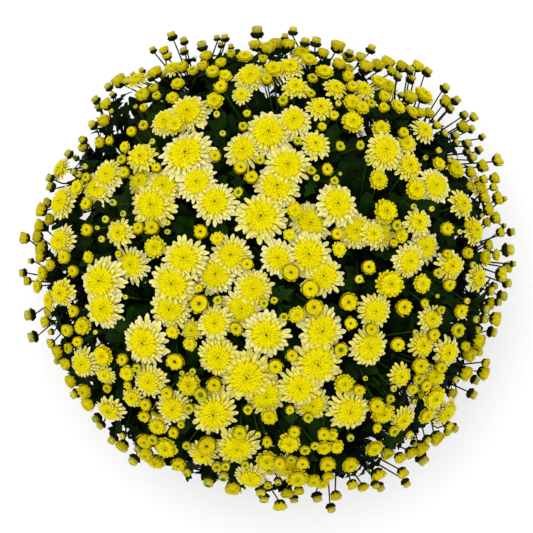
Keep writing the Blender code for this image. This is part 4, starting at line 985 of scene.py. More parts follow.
def seen_at(points):
    """Pixels across and down from the photo's centre at which points are seen."""
    far = EYE_HEIGHT + WIDEST_Z - points[..., 2:]
    return points[..., :2] * (1.0, -1.0) * EYE_HEIGHT / far


def leaf_marks(leaf):
    """Points along a leaf's rib and out on its two halves."""
    foot, lead, hint, length, neck = leaf
    _, up = frame_at(lead, hint)
    droop = up * LEAF_DROOP * length * MARK_SHARES[:, None] ** 2
    rib = foot + lead * (neck + MARK_SHARES[:, None] * length) - droop
    wing = hint * MARK_WING * length
    return np.concatenate([rib, rib[:3] + wing, rib[:3] - wing])


def over_heads(heads, points):
    """How many of some points hide a head from above."""
    apart = np.linalg.norm(seen_at(points)[:, None] - seen_at(heads.centre), axis=2)
    over = points[:, None, 2] > heads.centre[:, 2]
    return int((over & (apart < HIDDEN_SHARE * heads.radius)).sum())


def gap_leaves(stems, ways, heads, leaves, depth, rng):
    """Leaves that grow from the main stems into the gaps seen from above, to some depth."""
    steps = np.arange(-GAP_OUT, GAP_OUT + GAP_STEP, GAP_STEP)
    spots = np.stack(np.meshgrid(steps, steps), axis=-1).reshape(-1, 2)
    spots = spots[np.linalg.norm(spots, axis=1) < GAP_OUT]
    free = np.ones(len(spots), dtype=bool)

    def cover(centres, sizes):
        apart = np.linalg.norm(spots[:, None] - centres, axis=2)
        free[(apart < sizes).any(axis=1)] = False

    cover(seen_at(heads.centre), heads.radius * GAP_HEAD_SHARE)
    for _, leaf in leaves:
        cover(seen_at(leaf_marks(leaf)), leaf[3] * GAP_LEAF_SHARE)
    found = []
    for spot in rng.sample(range(len(spots)), len(spots)):
        for _ in range(GAP_TRIES if free[spot] else 0):
            leaf = gap_leaf(stems, ways, spots[spot], heads, depth, rng)
            if leaf is not None:
                found.append(leaf)
                cover(seen_at(leaf_marks(leaf[1])), leaf[1][3] * GAP_LEAF_SHARE)
                break
    return found


def gap_leaf(stems, ways, spot, heads, depth, rng):
    """Leaf whose middle is seen at a spot, on the stem that leans that way, or None."""
    share = min(float(np.hypot(*spot)) / DOME_RADIUS, RIM_SHARE)
    low = WIDEST_Z + DOME_RISE * math.sqrt(1.0 - share * share) - rng.uniform(*depth)
    flat = spot * (1.0, -1.0) * (EYE_HEIGHT + WIDEST_Z - low) / EYE_HEIGHT
    middle = np.array([*flat, low])
    number = int(np.argmax(ways @ unit(middle - SPRAY_BASE)))
    foot = stem_point(stems[number], rng.uniform(*EXTRA_FOOT))
    aside = np.array([rng.uniform(-GAP_STRAY, GAP_STRAY) for _ in range(3)])
    lead = unit(unit(middle - foot) + aside * GAP_STRAY_SHARES)
    length = rng.uniform(*GAP_LENGTH)
    start = middle - lead * 0.5 * length
    foot = start - lead * min(float(np.linalg.norm(start - foot)), GAP_NECK)
    tip = start + lead * length
    leaf = leaf_between(foot, tip, length)
    if leaf is None or np.hypot(*seen_at(tip)) > LEAF_RIM:
        return None
    marks = leaf_marks(leaf)
    if inside_heads(heads, marks, None) or over_heads(heads, marks):
        return None
    return number, leaf


def add_leaflets(skin, path, heads, rng):
    """Small lobed leaves along a head's stalk, turned by the golden angle, clear of the heads."""
    legs = np.linalg.norm(np.diff(path, axis=0), axis=1)
    along = np.concatenate([[0.0], np.cumsum(legs)])
    count = int(along[-1] * (LEAFLET_SHARES[1] - LEAFLET_SHARES[0]) / LEAFLET_EVERY)
    turn = rng.uniform(0.0, 2.0 * math.pi)
    for share in rng.uniform(*LEAFLET_SHARES, min(LEAFLET_MOST, count)):
        far = share * along[-1]
        point = np.array([np.interp(far, along, path[:, i]) for i in range(3)])
        leg = min(int(np.searchsorted(along, far)), len(legs)) - 1
        axis = unit(path[leg + 1] - path[leg])
        side, up = frame_at(axis, LEAF_HINT)
        length = rng.uniform(*LEAFLET_LENGTH)
        turn += GOLDEN_ANGLE
        for angle in (turn, turn + math.pi, turn + 0.5 * math.pi):
            out = turned(side, up, angle)
            tips = point + np.outer(LEAFLET_TIPS, out * length) + axis * LEAFLET_RISE * length
            clear = inside_heads(heads, tips, None) + over_heads(heads, tips) == 0
            if clear and np.hypot(*seen_at(tips[2])) < LEAFLET_RIM:
                break
        else:
            continue
        spine = [(0.6, 0.0), (0.45 * length, 0.42 * length), (0.92 * length, 0.34 * length)]
        chance = rng.uniform(-1.0, 1.0, (3, 1))
        green = mixed(DARK_GREEN, LEAF_GREEN, rng.uniform(0.1, 1.0))
        add_blades(
            skin, (point, side, up, axis), np.array([angle]), np.array([spine]),
            np.array([LEAFLET_WIDTH * length]), LEAFLET, LEAFLET_CUP, LEAFLET_THICK,
            (green, green, green), 0.3 * chance[0], 0.2 * chance[1], 0.5 + 0.5 * chance[2],
        )


def head_place(heads, k, rng):
    """Centre, two directions square to the axis and not quite alike in length, and the axis."""
    axis = heads.axis[k]
    side, up = frame_at(axis, head_hint(axis, k))
    deep = HEAD_DEPTH[heads.kind[k]]
    return heads.centre[k], side * rng.uniform(*UNROUND), up * rng.uniform(*UNROUND), axis * deep


def row_draws(count, phase, stray, rng):
    """Turns of a row's petals round the axis, and four chance values for each of them."""
    step = 2.0 * math.pi / count
    turns = phase + step * (np.arange(count) + rng.uniform(-stray, stray, count))
    return turns, rng.uniform(-1.0, 1.0, (4, count))


def add_row(skin, place, radius, draws, spine, stray, width, uneven, blade, dyes, twist):
    """Row of petals or bracts on a head, from the turns and chances of its draws.

    The spine is in shares of the head's radius. The blade is an outline, a cup, a thickness and
    whether it is ridged; the twist is how far blades roll and sway.
    """
    turns, chance = draws
    outline, cup, thick, ridged = blade
    roll, sway = twist
    spines = np.tile(np.array(spine), (len(turns), 1, 1)) * radius
    spines[:, 1:, 0] *= (1.0 + LONGER * (stray[0] * chance[0]))[:, None]
    spines[:, 1:, 1] += (HIGHER * radius * (stray[1] * chance[1]))[:, None]
    add_blades(
        skin, place, turns, spines, width * (1.0 + uneven * chance[2]), outline, cup, thick, dyes,
        roll * chance[3], sway * chance[2], 0.5 + 0.5 * chance[1], ridged,
    )


def bloom_rise(reach):
    """Height of an open bloom's surface over its centre, at a share of its radius."""
    return -0.13 + 0.43 * math.sqrt(max(1.0 - reach * reach, 0.0)) - 0.8 * max(reach - 1.0, 0.0)


def add_open_bloom(skin, place, radius, rng):
    """Open double bloom: a dome of narrow yellow petals in a ring of wider ones with pale tips."""
    large = radius > LARGE_BLOOM
    pale = rng.uniform(*(LARGE_PALE if large else SMALL_PALE))
    core = [(0.0, -0.26), (0.20, -0.25), (0.56, -0.12), (0.66, 0.04)]
    core += [(reach, bloom_rise(reach) - 0.05) for reach in (0.56, 0.40, 0.22, 0.0)]
    add_turned(skin, place, core, radius, 12, [OCHRE] * 4 + [mixed(OCHRE, DEEP, 0.5)] * 4)
    phase = 0.0
    for reach, count in OPEN_ROWS if large else SMALL_ROWS:
        inward = 1.0 - reach
        rise = bloom_rise(reach)
        draws = row_draws(count, phase, 0.25, rng)
        phase += GOLDEN_ANGLE
        if reach > DISC_REACH:
            bend = (0.05 + reach * 0.62, rise + 0.02 + 0.15 * reach)
            spine = (0.30 + 0.12 * reach, -0.14), bend, (reach, rise)
            width = radius * (0.53 * 2.0 * math.pi * reach / count + 0.03)
            blade, stray = (ROUND_TIP, 0.22, 0.035 * radius, False), OUTER_STRAY
        else:
            foot = (0.50 * reach, bloom_rise(0.50 * reach) - 0.07)
            spine = foot, (0.78 * reach, rise + 0.075), (reach, rise + 0.01)
            width = radius * (0.86 * 2.0 * math.pi * reach / count)
            blade, stray = (NARROW_TIP, 0.0, 0.035 * radius, True), DISC_STRAY
        base = mixed(YELLOW, DEEP, smooth(inward, 0.1, 0.5))
        middle = mixed(mixed(YELLOW, PALE, 0.7 * pale), YELLOW, smooth(inward, 0.0, 0.26))
        tip = mixed(mixed(YELLOW, CREAM, 0.2 + 0.8 * pale), YELLOW, smooth(inward, 0.04, 0.36))
        add_row(
            skin, place, radius, draws, spine, stray, width, 0.09, blade, (base, middle, tip),
            (0.30, 0.25),
        )
    eye = ((0.0, 0.20), (0.05, 0.24), (0.06, 0.32), (0.04, 0.35), (0.0, 0.345))
    add_turned(skin, place, eye, radius, 7, [OLIVE] * 5)


def opening_rise(reach):
    """Height of an opening bloom's surface over its centre, at a share of its radius."""
    dimple = 0.16 * math.exp(-(reach / 0.24) ** 2)
    return 0.05 + 0.38 * math.sqrt(max(1.0 - reach * reach, 0.0)) - dimple


def add_opening_bloom(skin, place, radius, rng):
    """Opening bloom: narrow yellow petals that stand up in a dome, with ragged tips."""
    core = [(0.0, -0.42), (0.18, -0.40), (0.52, -0.22), (0.74, 0.08)]
    core += [(reach, opening_rise(reach) - 0.06) for reach in (0.62, 0.42, 0.22, 0.0)]
    add_turned(skin, place, core, radius, 11, [OCHRE] * 4 + [DEEP] * 4)
    phase = 0.0
    fewer = 0.72 if radius < SMALL_OPENING else 1.0
    light = rng.uniform(0.0, 0.4)
    tone = rng.uniform(*TONE)
    for reach, count in OPENING_ROWS:
        count = max(4, round(count * fewer))
        rise = opening_rise(reach)
        outer = reach > OPENING_DISC
        foot = (0.48, -0.22) if outer else (0.50 * reach, opening_rise(0.50 * reach) - 0.09)
        bend = (0.84 * reach, rise - 0.02) if outer else (0.80 * reach, rise + 0.06)
        draws = row_draws(count, phase, 0.3, rng)
        phase += GOLDEN_ANGLE
        width = radius * (0.92 * 2.0 * math.pi * reach / count)
        tip = mixed(YELLOW, PALE, light * smooth(reach, 0.5, 1.0))
        add_row(
            skin, place, radius, draws, (foot, bend, (reach, rise)), OPENING_STRAY, width, 0.1,
            (POINTED, 0.0, 0.045 * radius, True),
            (mixed(YELLOW, DEEP, 0.6) * tone, YELLOW * tone, tip * tone), (0.3, 0.3),
        )
    eye = ((0.0, 0.30), (0.05, 0.36), (0.06, 0.41), (0.0, 0.43))
    add_turned(skin, place, eye, radius, 7, [OLIVE] * 4)


def add_button(skin, place, radius, rng):
    """Half-open button: petals flare from a cup, roll over its rim and dip to a green eye.

    A young one has a wide eye in a pale ring.
    """
    young = rng.uniform() < (OFTEN_YOUNG if radius < YOUNG_BUTTON else SELDOM_YOUNG)
    eye = rng.uniform(*(YOUNG_EYE if young else OLD_EYE))
    core = (
        (0.0, -0.50), (0.30, -0.46), (0.58, -0.34), (0.76, -0.06), (0.84, 0.20), (0.79, 0.32), (0.60, 0.38),
        (eye + 0.16, 0.36), (eye + 0.04, 0.29), (eye - 0.02, 0.20), (0.0, 0.18),
    )
    tone = rng.uniform(*TONE)
    green = rng.uniform(0.0, 0.3)
    dark = mixed(EYE_GREEN, LIME, 0.4) if young else mixed(OLIVE, EYE_GREEN, rng.uniform(0.0, 0.6))
    add_turned(skin, place, core, radius, 12, [OCHRE] * 3 + [DEEP * tone] * 5 + [dark] * 3)
    rows = (
        (11, (0.55, -0.42), (0.92, -0.20), (1.01, 0.40), 0.58, POINTED),
        (12, (0.80, 0.02), (1.00, 0.66), (eye + 0.06, 0.36), 0.50, WEDGE),
        (8, (0.66, 0.42), (0.50, 0.56), (eye, 0.27), 0.36, WEDGE),
    )
    fewer = 0.8 if radius < SMALL_BUTTON else 1.0
    phase = rng.uniform(0.0, 1.0)
    for number, (count, foot, bend, tip, width, outline) in enumerate(rows[:2] if young else rows):
        count = round(fewer * count)
        draws = row_draws(count, phase, 0.2, rng)
        phase += GOLDEN_ANGLE
        body = mixed(mixed(YELLOW, DEEP, 0.1 + 0.2 * number), LIME, green * 0.2) * tone
        if number == 0:
            end = mixed(YELLOW, PALE, 0.9 if young else 0.2)
        else:
            end = mixed(YELLOW, LIME, 0.5) if young else mixed(DEEP, LIME, 0.1 + 0.5 * green)
        add_row(
            skin, place, radius, draws, (foot, bend, tip), EVEN if number else BUTTON_STRAY,
            radius * width / fewer, 0.1, (outline, 0.0, 0.06 * radius, True),
            (mixed(DEEP, OCHRE, 0.5), body, end * tone), (0.2, 0.1),
        )


def add_bud(skin, place, radius, rng):
    """Closed bud: small pale petals round a green middle, just out of the calyx."""
    core = (
        (0.0, -0.40), (0.60, -0.30), (0.74, 0.10), (0.72, 0.46), (0.50, 0.68), (0.16, 0.72),
        (0.0, 0.68),
    )
    ripe = rng.uniform(0.0, 1.0)
    green = mixed(EYE_GREEN, LIME, 0.3 + 0.7 * ripe)
    ring = mixed(mixed(LIME, PALE, 0.6), mixed(YELLOW, PALE, 0.5), ripe)
    add_turned(skin, place, core, radius, 10, [GREEN, GREEN, ring, ring, green, green, green])
    spine = (0.76, -0.10), (1.06, 0.92), (0.16 + 0.20 * (1.0 - ripe), 0.86)
    add_row(
        skin, place, radius, row_draws(8, 0.3, 0.12, rng), spine, BUD_STRAY, radius * 0.64, 0.08,
        (HOOD, 0.0, 0.08 * radius, True), (mixed(RUST, OCHRE, 0.6), ring, mixed(ring, LIME, 0.35)),
        (0.1, 0.1),
    )


# Calyx of each kind of head: cup profile from the stalk up, then bracts as how many, foot, bend,
# tip and width; all in shares of the head's radius from its centre
CALYX = {
    "open": (
        ((0.0, -0.52), (0.09, -0.51), (0.20, -0.42), (0.28, -0.30), (0.26, -0.24), (0.0, -0.22)),
        7, (0.16, -0.46), (0.33, -0.36), (0.37, -0.20), 0.24,
    ),
    "opening": (
        ((0.0, -0.46), (0.14, -0.45), (0.40, -0.34), (0.56, -0.18), (0.52, -0.10), (0.0, -0.05)),
        7, (0.26, -0.42), (0.66, -0.30), (0.74, 0.02), 0.46,
    ),
    "button": (
        ((0.0, -0.60), (0.20, -0.59), (0.50, -0.50), (0.68, -0.26), (0.66, -0.12), (0.0, 0.0)),
        7, (0.34, -0.58), (0.80, -0.46), (0.84, -0.08), 0.64,
    ),
    "bud": (
        ((0.0, -1.0), (0.25, -0.95), (0.70, -0.66), (0.88, -0.34), (0.84, -0.06), (0.0, 0.06)),
        6, (0.55, -0.78), (1.10, -0.42), (0.90, 0.10), 0.78,
    ),
}


def add_calyx(skin, place, kind, radius, rng):
    """Green cup under a head with overlapping bracts whose tips are red-brown."""
    profile, count, *spine, width = CALYX[kind]
    dyes = [STALK_GREEN] * 2 + [GREEN] * (len(profile) - 2)
    add_turned(skin, place, profile, radius, 8, dyes)
    draws = row_draws(count, 0.0, 0.15, rng)
    rust = mixed(GREEN, RUST, rng.uniform(0.3, 1.0))
    add_row(
        skin, place, radius, draws, spine, BRACT_STRAY, radius * width, 0.1,
        (BRACT, -0.30, 0.08 * radius + 0.1, True), (GREEN * 0.8, GREEN, rust), (0.15, 0.1),
    )


def make_piece(name, skin, material):
    """Mesh object from a skin, in metres, with its colour and form kept on its points."""
    points = np.concatenate(skin.points) * MM
    quads, tris = np.concatenate(skin.quads), np.concatenate(skin.tris)
    mesh = bpy.data.meshes.new(name)
    mesh.vertices.add(len(points))
    mesh.vertices.foreach_set("co", points.ravel())
    mesh.loops.add(quads.size + tris.size)
    mesh.loops.foreach_set("vertex_index", np.concatenate([quads.ravel(), tris.ravel()]))
    mesh.polygons.add(len(quads) + len(tris))
    starts = np.concatenate([4 * np.arange(len(quads)), quads.size + 3 * np.arange(len(tris))])
    mesh.polygons.foreach_set("loop_start", starts)
    mesh.update(calc_edges=True)
    for title, values in (("tint", skin.tint), ("form", skin.form)):
        layer = mesh.attributes.new(title, "FLOAT_VECTOR", "POINT")
        layer.data.foreach_set("vector", np.concatenate(values).astype(np.float32).ravel())
    mesh.shade_smooth()
    mesh.set_sharp_from_angle(angle=SHARP_ANGLE)
    mesh.materials.append(material)
    piece = bpy.data.objects.new(name, mesh)
    bpy.context.scene.collection.objects.link(piece)
    return piece


# Range in which most values of a noise lie, and the narrower one that makes patches
NOISE_RANGE = (0.3, 0.7)
PATCH_RANGE = (0.35, 0.65)


class Nodes:
    """Short way to add and link the nodes of one material."""

    def __init__(self, name):
        self.material = bpy.data.materials.new(name)
        self.material.use_nodes = True
        self.tree = self.material.node_tree
        self.shader = self.tree.nodes["Principled BSDF"]

    def add(self, kind, links=(), **values):
        """Node of a kind; links are pairs of input and output, and values are its settings."""
        node = self.tree.nodes.new(kind)
        for key, value in values.items():
            setattr(node, key, value)
        for target, source in links:
            self.link(source, node.inputs[target])
        return node

    def link(self, source, target):
        self.tree.links.new(source, target)

    def attribute(self, name):
        """What make_piece has kept on the points under a name."""
        return self.add("ShaderNodeAttribute", attribute_name=name).outputs["Vector"]

    def place(self):
        """Where on the piece a point lies, in metres."""
        return self.add("ShaderNodeTexCoord").outputs["Object"]

    def noise(self, vector, scale, detail):
        node = self.add("ShaderNodeTexNoise", [("Vector", vector)])
        node.inputs["Scale"].default_value = scale
        node.inputs["Detail"].default_value = detail
        return node.outputs["Fac"]

    def mapped(self, source, low, high, to_low, to_high):
        """A value from one range brought to another."""
        node = self.add("ShaderNodeMapRange", [("Value", source)])
        for key, value in (("From Min", low), ("From Max", high), ("To Min", to_low), ("To Max", to_high)):
            node.inputs[key].default_value = value
        return node.outputs["Result"]

    def spread(self, noise, low, high):
        """A noise's usual values brought to a range."""
        return self.mapped(noise, *NOISE_RANGE, low, high)

    def mottled(self, colour, noise, dark, light):
        """A colour made darker and lighter by a noise."""
        return self.times(colour, self.spread(noise, dark, light))

    def scaled(self, vector, factors):
        node = self.add("ShaderNodeVectorMath", operation="MULTIPLY")
        self.link(vector, node.inputs[0])
        node.inputs[1].default_value = factors
        return node.outputs["Vector"]

    def times(self, colour, factor):
        """A colour made lighter or darker by a value."""
        node = self.add("ShaderNodeVectorMath", operation="SCALE")
        self.link(colour, node.inputs[0])
        self.link(factor, node.inputs["Scale"])
        return node.outputs["Vector"]

    def blend(self, share, first, second):
        """Mix of two colours; a colour is an output or a value."""
        node = self.add("ShaderNodeMix", data_type="RGBA")
        self.link(share, node.inputs["Factor"])
        for key, colour in (("A", first), ("B", second)):
            target = next(one for one in node.inputs if one.name == key and one.type == "RGBA")
            if isinstance(colour, bpy.types.NodeSocket):
                self.link(colour, target)
            else:
                target.default_value = (*colour, 1.0)
        return next(one for one in node.outputs if one.type == "RGBA")

    def bump(self, height, strength, distance):
        node = self.add("ShaderNodeBump", [("Height", height)])
        node.inputs["Strength"].default_value = strength
        node.inputs["Distance"].default_value = distance
        self.link(node.outputs["Normal"], self.shader.inputs["Normal"])

    def set(self, **values):
        for key, value in values.items():
            self.shader.inputs[key.replace("_", " ")].default_value = value

    def finish(self, colour, roughness):
        """The material, with its colour and roughness joined to its shader."""
        self.link(colour, self.shader.inputs["Base Color"])
        self.link(roughness, self.shader.inputs["Roughness"])
        return self.material


def petal_material():
    """Petals: fine streaks along each petal and slightly uneven colour."""
    nodes = Nodes("petal")
    streaks = nodes.noise(nodes.scaled(nodes.attribute("form"), (1.6, 3.2, 40.0)), 3.0, 3.0)
    clouds = nodes.noise(nodes.place(), 160.0, 2.0)
    colour = nodes.mottled(nodes.attribute("tint"), streaks, 0.93, 1.04)
    colour = nodes.mottled(colour, clouds, 0.95, 1.03)
    nodes.bump(streaks, 0.25, 0.0003)
    nodes.set(Specular_IOR_Level=0.04)
    return nodes.finish(colour, nodes.spread(streaks, 0.72, 0.60))


def foliage_material():
    """Leaves, bracts and stalks: mottled green with paler veins and a dull gloss."""
    nodes = Nodes("foliage")
    form = nodes.add("ShaderNodeSeparateXYZ", [("Vector", nodes.attribute("form"))])
    coarse = nodes.noise(nodes.place(), 60.0, 3.0)
    fine = nodes.noise(nodes.place(), 700.0, 3.0)
    colour = nodes.mottled(nodes.attribute("tint"), coarse, 0.72, 1.28)
    colour = nodes.mottled(colour, fine, 0.88, 1.12)
    colour = nodes.times(colour, nodes.mapped(form.outputs["Y"], 0.55, 1.0, 1.0, 1.5))
    nodes.bump(fine, 0.3, 0.0005)
    nodes.set(Specular_IOR_Level=0.02)
    return nodes.finish(colour, nodes.spread(fine, 0.55, 0.72))


def soil_material():
    """Dark peaty potting mix with paler fibres."""
    nodes = Nodes("soil")
    coarse = nodes.noise(nodes.place(), 120.0, 5.0)
    fine = nodes.noise(nodes.place(), 900.0, 4.0)
    fibres = nodes.mapped(coarse, *PATCH_RANGE, 0.0, 1.0)
    colour = nodes.mottled(nodes.blend(fibres, dye(38, 26, 18), dye(84, 62, 44)), fine, 0.6, 1.3)
    nodes.bump(fine, 0.8, 0.002)
    return nodes.finish(colour, nodes.spread(fine, 0.85, 1.0))


def pot_material():
    """Matt brick-coloured plastic with a faint grain and scuffs."""
    nodes = Nodes("pot")
    grain = nodes.noise(nodes.place(), 1400.0, 2.0)
    clouds = nodes.noise(nodes.place(), 18.0, 4.0)
    scuffs = nodes.noise(nodes.scaled(nodes.place(), (1.0, 1.0, 9.0)), 60.0, 5.0)
    faded = nodes.mapped(clouds, *PATCH_RANGE, 0.0, 1.0)
    worn = nodes.mapped(scuffs, 0.66, 0.74, 0.0, 0.35)
    colour = nodes.blend(faded, dye(158, 84, 58), dye(172, 98, 70))
    colour = nodes.blend(worn, colour, dye(196, 140, 116))
    nodes.bump(grain, 0.15, 0.0003)
    nodes.set(Specular_IOR_Level=0.4)
    return nodes.finish(colour, nodes.spread(clouds, 0.50, 0.66))


def floor_material():
    """Pale matt floor."""
    nodes = Nodes("floor")
    nodes.set(Base_Color=(0.93, 0.93, 0.93, 1.0), Roughness=0.9)
    return nodes.material


# Pot, as the solid has it, with its edges rounded
POT_HEIGHT = 160.0
POT_TOP_RADIUS = 106.0
POT_BASE_RADIUS = 74.0
POT_WALL = 3.0
POT_FLOOR = 4.0
POT_BAND_HEIGHT = 22.0
POT_BAND_STEP = 3.0
POT_BAND_TAPER = 1.0
POT_ROUNDING = 1.2
POT_SIDES = 96
BASE_RINGS = (8.0, 7.0, 0.0)
DRAIN_RADIUS = 6.0
DRAIN_RING = 44.0
DRAIN_COUNT = 4
DRAIN_SIDES = 24

# Soil: how uneven it is, how deep and wide it dips at the stems, and its crumbs
SOIL_SIDES = 64
SOIL_RINGS = 22
SOIL_INSET = POT_WALL + CLEARANCE
SOIL_BUMPS = 1.6
DIP_DEPTH = 1.5
DIP_WIDTH = 6.0
CRUMBS = 320
CRUMB_SIZE = (1.2, 3.6)
CRUMB_PROFILE = np.array([(0.0, -0.8), (0.8, -0.5), (1.0, 0.2), (0.5, 0.8), (0.0, 0.9)])


def wall_radius(z):
    """Outer radius of the pot's wall at a height."""
    return POT_BASE_RADIUS + (POT_TOP_RADIUS - POT_BAND_STEP - POT_BASE_RADIUS) * z / POT_HEIGHT


def rounded_profile(corners, rounding, steps):
    """Profile with each inner corner replaced by a short curve."""
    points = [corners[0]]
    for before, corner, after in zip(corners[:-2], corners[1:-1], corners[2:]):
        before, corner, after = (np.array(one) for one in (before, corner, after))
        legs = np.linalg.norm(before - corner), np.linalg.norm(after - corner)
        reach = min(rounding, 0.45 * legs[0], 0.45 * legs[1])
        start = corner + unit(before - corner) * reach
        end = corner + unit(after - corner) * reach
        for i in range(steps + 1):
            t = i / steps
            points.append((1 - t) ** 2 * start + 2 * t * (1 - t) * corner + t ** 2 * end)
    points.append(corners[-1])
    return [(float(radius), float(z)) for radius, z in points]


def make_pot():
    """Pot turned from its rounded profile, with its drain holes cut through the floor."""
    band = POT_HEIGHT - POT_BAND_HEIGHT
    corners = [
        (0.0, 0.0),
        *((POT_BASE_RADIUS - inset, 0.0) for inset in BASE_RINGS),
        (wall_radius(band), band),
        (POT_TOP_RADIUS - POT_BAND_TAPER, band),
        (POT_TOP_RADIUS, POT_HEIGHT),
        (wall_radius(POT_HEIGHT) - POT_WALL, POT_HEIGHT),
        (wall_radius(POT_FLOOR) - POT_WALL, POT_FLOOR),
        (0.0, POT_FLOOR),
    ]
    skin = Skin()
    profile = rounded_profile(corners, POT_ROUNDING, 3)
    add_turned(skin, (np.zeros(3), *np.eye(3)), profile, 1.0, POT_SIDES, [YELLOW] * len(profile))
    pot = make_piece("pot_body", skin, pot_material())
    for i in range(DRAIN_COUNT):
        turn = 2.0 * math.pi * (i + 0.5) / DRAIN_COUNT
        spot = (DRAIN_RING * math.cos(turn) * MM, DRAIN_RING * math.sin(turn) * MM, 0.0)
        bpy.ops.mesh.primitive_cylinder_add(
            vertices=DRAIN_SIDES, radius=DRAIN_RADIUS * MM, depth=4.0 * POT_FLOOR * MM, location=spot,
        )
        drill = bpy.context.object
        cut = pot.modifiers.new("drain", "BOOLEAN")
        cut.object = drill
        bpy.context.view_layer.update()
        graph = bpy.context.evaluated_depsgraph_get()
        pot.data = bpy.data.meshes.new_from_object(pot.evaluated_get(graph))
        pot.modifiers.clear()
        bpy.data.objects.remove(drill)
    return pot


def add_crumb(skin, top, rng):
    """Lump of potting mix lying on the soil."""
    out, turn = top * 0.96 * math.sqrt(rng.uniform()), rng.uniform(0.0, 2.0 * math.pi)
    size = rng.uniform(*CRUMB_SIZE)
    centre = np.array([out * math.cos(turn), out * math.sin(turn), SOIL_TOP - 0.8 + 0.2 * size])
    axis = unit(rng.normal(size=3))
    side, up = frame_at(axis, CRUMB_HINT)
    profile = CRUMB_PROFILE * rng.uniform(0.7, 1.0, (len(CRUMB_PROFILE), 1))
    add_turned(skin, (centre, side, up, axis), profile, size * 0.5, 5, [OCHRE] * len(profile))


def make_soil(stems):
    """Potting mix: an uneven top that dips at the stems, with crumbs lying on it."""
    rng = np.random.default_rng(LAYOUT_SEED)
    top = wall_radius(SOIL_TOP) - SOIL_INSET
    low = POT_FLOOR + CLEARANCE
    radii = np.linspace(0.0, 1.0, SOIL_RINGS + 1)[1:] * top
    ring = spokes(np.array([1.0, 0.0]), np.array([0.0, 1.0]), SOIL_SIDES)
    flat = ring[None] * radii[:, None, None]
    bumps = rng.uniform(-SOIL_BUMPS, 0.0, (SOIL_RINGS, SOIL_SIDES))
    feet = np.array([stem[0][:2] for stem in stems])
    apart = np.linalg.norm(flat[:, :, None] - feet, axis=3).min(axis=2)
    bumps = bumps - DIP_DEPTH * np.exp(-(apart / DIP_WIDTH) ** 2)
    surface = np.concatenate([flat, (SOIL_TOP + bumps)[..., None]], axis=2)[::-1]
    base = ring * (wall_radius(low) - SOIL_INSET)
    base = np.concatenate([base, np.full((SOIL_SIDES, 1), low)], axis=1)
    rings = np.concatenate([base[None], surface])
    points = np.concatenate([rings.reshape(-1, 3), [[0.0, 0.0, low], [0.0, 0.0, SOIL_TOP - 1.0]]])
    skin = Skin()
    skin.add(points, *tube_faces(len(rings), SOIL_SIDES), OCHRE, (0.0, 0.0, 0.5))
    for _ in range(CRUMBS):
        add_crumb(skin, top, rng)
    return make_piece("soil_mix", skin, soil_material())


HEAD_MAKERS = {"open": add_open_bloom, "opening": add_opening_bloom, "button": add_button, "bud": add_bud}


def grow_head(heads, k, skin, green, path):
    """A head's petals in one skin, and its calyx, stalk and leaflets in the green one."""
    kind = heads.kind[k]
    out = float(np.hypot(*seen_at(heads.centre[k])))
    fuller = (RIM_FULLER[kind] - 1.0) * float(smooth(out, TURN_FROM, RIM_FROM))
    radius = heads.radius[k] * (1.0 + fuller)
    rng = np.random.default_rng(HEAD_SEED + k)
    place = head_place(heads, k, rng)
    HEAD_MAKERS[kind](skin, place, radius, rng)
    add_calyx(green, place, kind, radius, rng)
    points = rounded_path(path, 2 if len(path) > 2 else 1)
    radii = np.linspace(*STALK_TAPER, len(points))
    # Painted shade: stalks are painted darker towards their foot, deep in the plant, and lighter towards
    # the head
    tint = mixed(DARK_GREEN, STALK_GREEN, np.linspace(0.0, 1.0, len(points)) ** 2)
    add_tube(green, points, radii, STALK_TUBE, tint, float(rng.uniform()))
    add_leaflets(green, points, heads, rng)


def all_leaves(stems, ways, heads, trees, rng):
    """Leaves, each with its stem's number: those of the solids, more on stems, then in gaps."""
    solid = solid_leaves(stems, ways, trees)
    leaves = list(solid)
    for number, (stem, way) in enumerate(zip(stems, ways)):
        for place in range(EXTRA_LEAVES):
            leaf = extra_leaf(stem, way, place, heads, rng)
            if leaf is not None:
                leaves.append((number, leaf))
    high, deep = GAP_DEPTHS
    leaves += gap_leaves(stems, ways, heads, solid, high, rng)
    leaves += gap_leaves(stems, ways, heads, leaves, deep, rng)
    return leaves


def shade_low(skin):
    """Painted shade: foliage deep in the plant, where little light falls, is painted darker than the top
    and the sides.
    """
    points = np.concatenate(skin.points)
    share = np.minimum(np.hypot(points[:, 0], points[:, 1]) / DOME_RADIUS, RIM_SHARE)
    bulge = np.sqrt(1.0 - share ** 2)
    below_top = WIDEST_Z + DOME_RISE * bulge - points[:, 2]
    over_foot = points[:, 2] - (WIDEST_Z - SKIRT_DROP * bulge)
    inner = 1.0 - SIDE_SHARE * (1.0 - smooth(over_foot, *SIDE_DEPTH))
    # Painted light at the top and painted shade deep down, as one factor on the foliage colour
    level = TOP_LIGHT + (LOW_LIGHT - TOP_LIGHT) * (smooth(below_top, *LOW_DEPTH) * inner)
    skin.tint = [np.concatenate(skin.tint) * level[:, None]]


